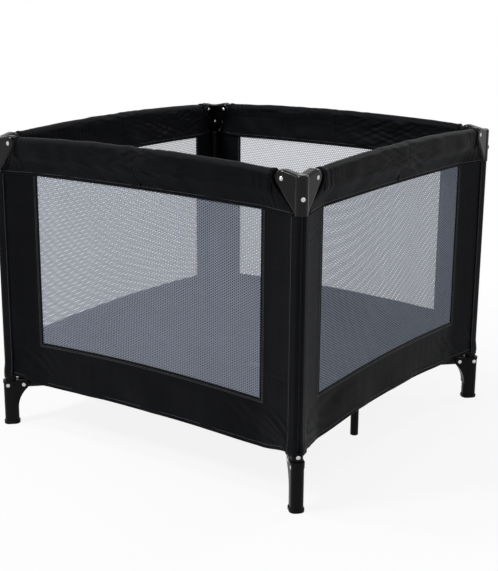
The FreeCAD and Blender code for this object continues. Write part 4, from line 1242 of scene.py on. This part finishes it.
def light_world(scene, strength):
    """Even light from all round, white where it is seen."""
    world = bpy.data.worlds.new("studio")
    world.use_nodes = True
    tree = world.node_tree
    tree.nodes.clear()
    soft = add(tree, "ShaderNodeBackground", {"Color": (0.93, 0.96, 1.0, 1.0), "Strength": strength})
    white = add(tree, "ShaderNodeBackground", {"Color": (1, 1, 1, 1), "Strength": 1.0})
    both = add(tree, "ShaderNodeMixShader", {0: seen_directly(tree), 1: soft.outputs[0], 2: white.outputs[0]})
    add(tree, "ShaderNodeOutputWorld", {"Surface": both.outputs[0]})
    scene.world = world


def aimed(place, target):
    """A matrix that stands at a place and looks at a target, level."""
    place, target = np.array(place, float), np.array(target, float)
    ahead = unit(target - place)
    right = unit(np.cross(ahead, [0, 0, 1]))
    up = np.cross(right, ahead)
    return matrix_of(right, up, -ahead, place)


def matrix_of(right, up, back, place):
    """A matrix from its three axes and its place."""
    whole = np.eye(4)
    whole[:3, 0], whole[:3, 1], whole[:3, 2], whole[:3, 3] = right, up, back, place
    return Matrix(whole.tolist())


def add_lamp(name, place, target, size, power):
    """A square soft lamp."""
    data = bpy.data.lights.new(name, "AREA")
    data.shape = "SQUARE"
    data.size = size
    data.energy = power
    lamp = bpy.data.objects.new(name, data)
    lamp.matrix_world = aimed(place, target)
    bpy.context.scene.collection.objects.link(lamp)


def add_camera(scene, studio):
    """The camera: turned from +Y by its yaw, tilted down by its pitch and rolled."""
    yaw, pitch, roll = studio.yaw, studio.pitch, studio.roll
    ahead = np.array([math.sin(yaw) * math.cos(pitch), math.cos(yaw) * math.cos(pitch), -math.sin(pitch)])
    level = np.array([math.cos(yaw), -math.sin(yaw), 0.0])
    upright = np.cross(level, ahead)
    right = level * math.cos(roll) + upright * math.sin(roll)
    up = upright * math.cos(roll) - level * math.sin(roll)
    data = bpy.data.cameras.new("camera")
    data.lens = studio.lens
    data.sensor_width = 36.0
    data.clip_end = 50.0
    camera = bpy.data.objects.new("camera", data)
    camera.matrix_world = matrix_of(right, up, -ahead, list(studio.eye))
    scene.collection.objects.link(camera)
    bpy.context.scene.camera = camera
    scene.view_settings.view_transform = "Standard"


class PLAYPEN_PT_sidebar(bpy.types.Panel):
    """The playpen's pieces, in the order they are made"""

    bl_idname = "PLAYPEN_PT_sidebar"
    bl_label = "Playpen"
    bl_space_type = "VIEW_3D"
    bl_region_type = "UI"
    bl_category = "Playpen"

    def draw(self, context):
        for name, group in GROUPS:
            box = self.layout.box()
            box.label(text=group.__doc__)
            values = getattr(context.scene, name)
            for key in group.__annotations__:
                box.prop(values, key)
        for step in STEPS:
            self.layout.operator(step.bl_idname)


GROUPS = (("playpen_cloth", PlaypenCloth), ("playpen_cover", PlaypenCover), ("playpen_net", PlaypenNet),
          ("playpen_floor", PlaypenFloor), ("playpen_hardware", PlaypenHardware), ("playpen_studio", PlaypenStudio))
STEPS = (PLAYPEN_OT_frame_finish, PLAYPEN_OT_wall_cloths, PLAYPEN_OT_post_sleeves, PLAYPEN_OT_net_panels,
         PLAYPEN_OT_rail_covers, PLAYPEN_OT_corner_covers, PLAYPEN_OT_floor_quarters, PLAYPEN_OT_pull_strap,
         PLAYPEN_OT_studio)


def register():
    for name, group in GROUPS:
        bpy.utils.register_class(group)
        setattr(bpy.types.Scene, name, PointerProperty(type=group))
    for step in STEPS:
        bpy.utils.register_class(step)
    bpy.utils.register_class(PLAYPEN_PT_sidebar)


def unregister():
    bpy.utils.unregister_class(PLAYPEN_PT_sidebar)
    for step in reversed(STEPS):
        bpy.utils.unregister_class(step)
    for name, group in reversed(GROUPS):
        delattr(bpy.types.Scene, name)
        bpy.utils.unregister_class(group)


def main():
    """Make every piece in order."""
    register()
    bpy.ops.playpen.frame_finish()
    bpy.ops.playpen.wall_cloths()
    bpy.ops.playpen.post_sleeves()
    bpy.ops.playpen.net_panels()
    bpy.ops.playpen.rail_covers()
    bpy.ops.playpen.corner_covers()
    bpy.ops.playpen.floor_quarters()
    bpy.ops.playpen.pull_strap()
    bpy.ops.playpen.studio()


if __name__ == "__main__":
    main()
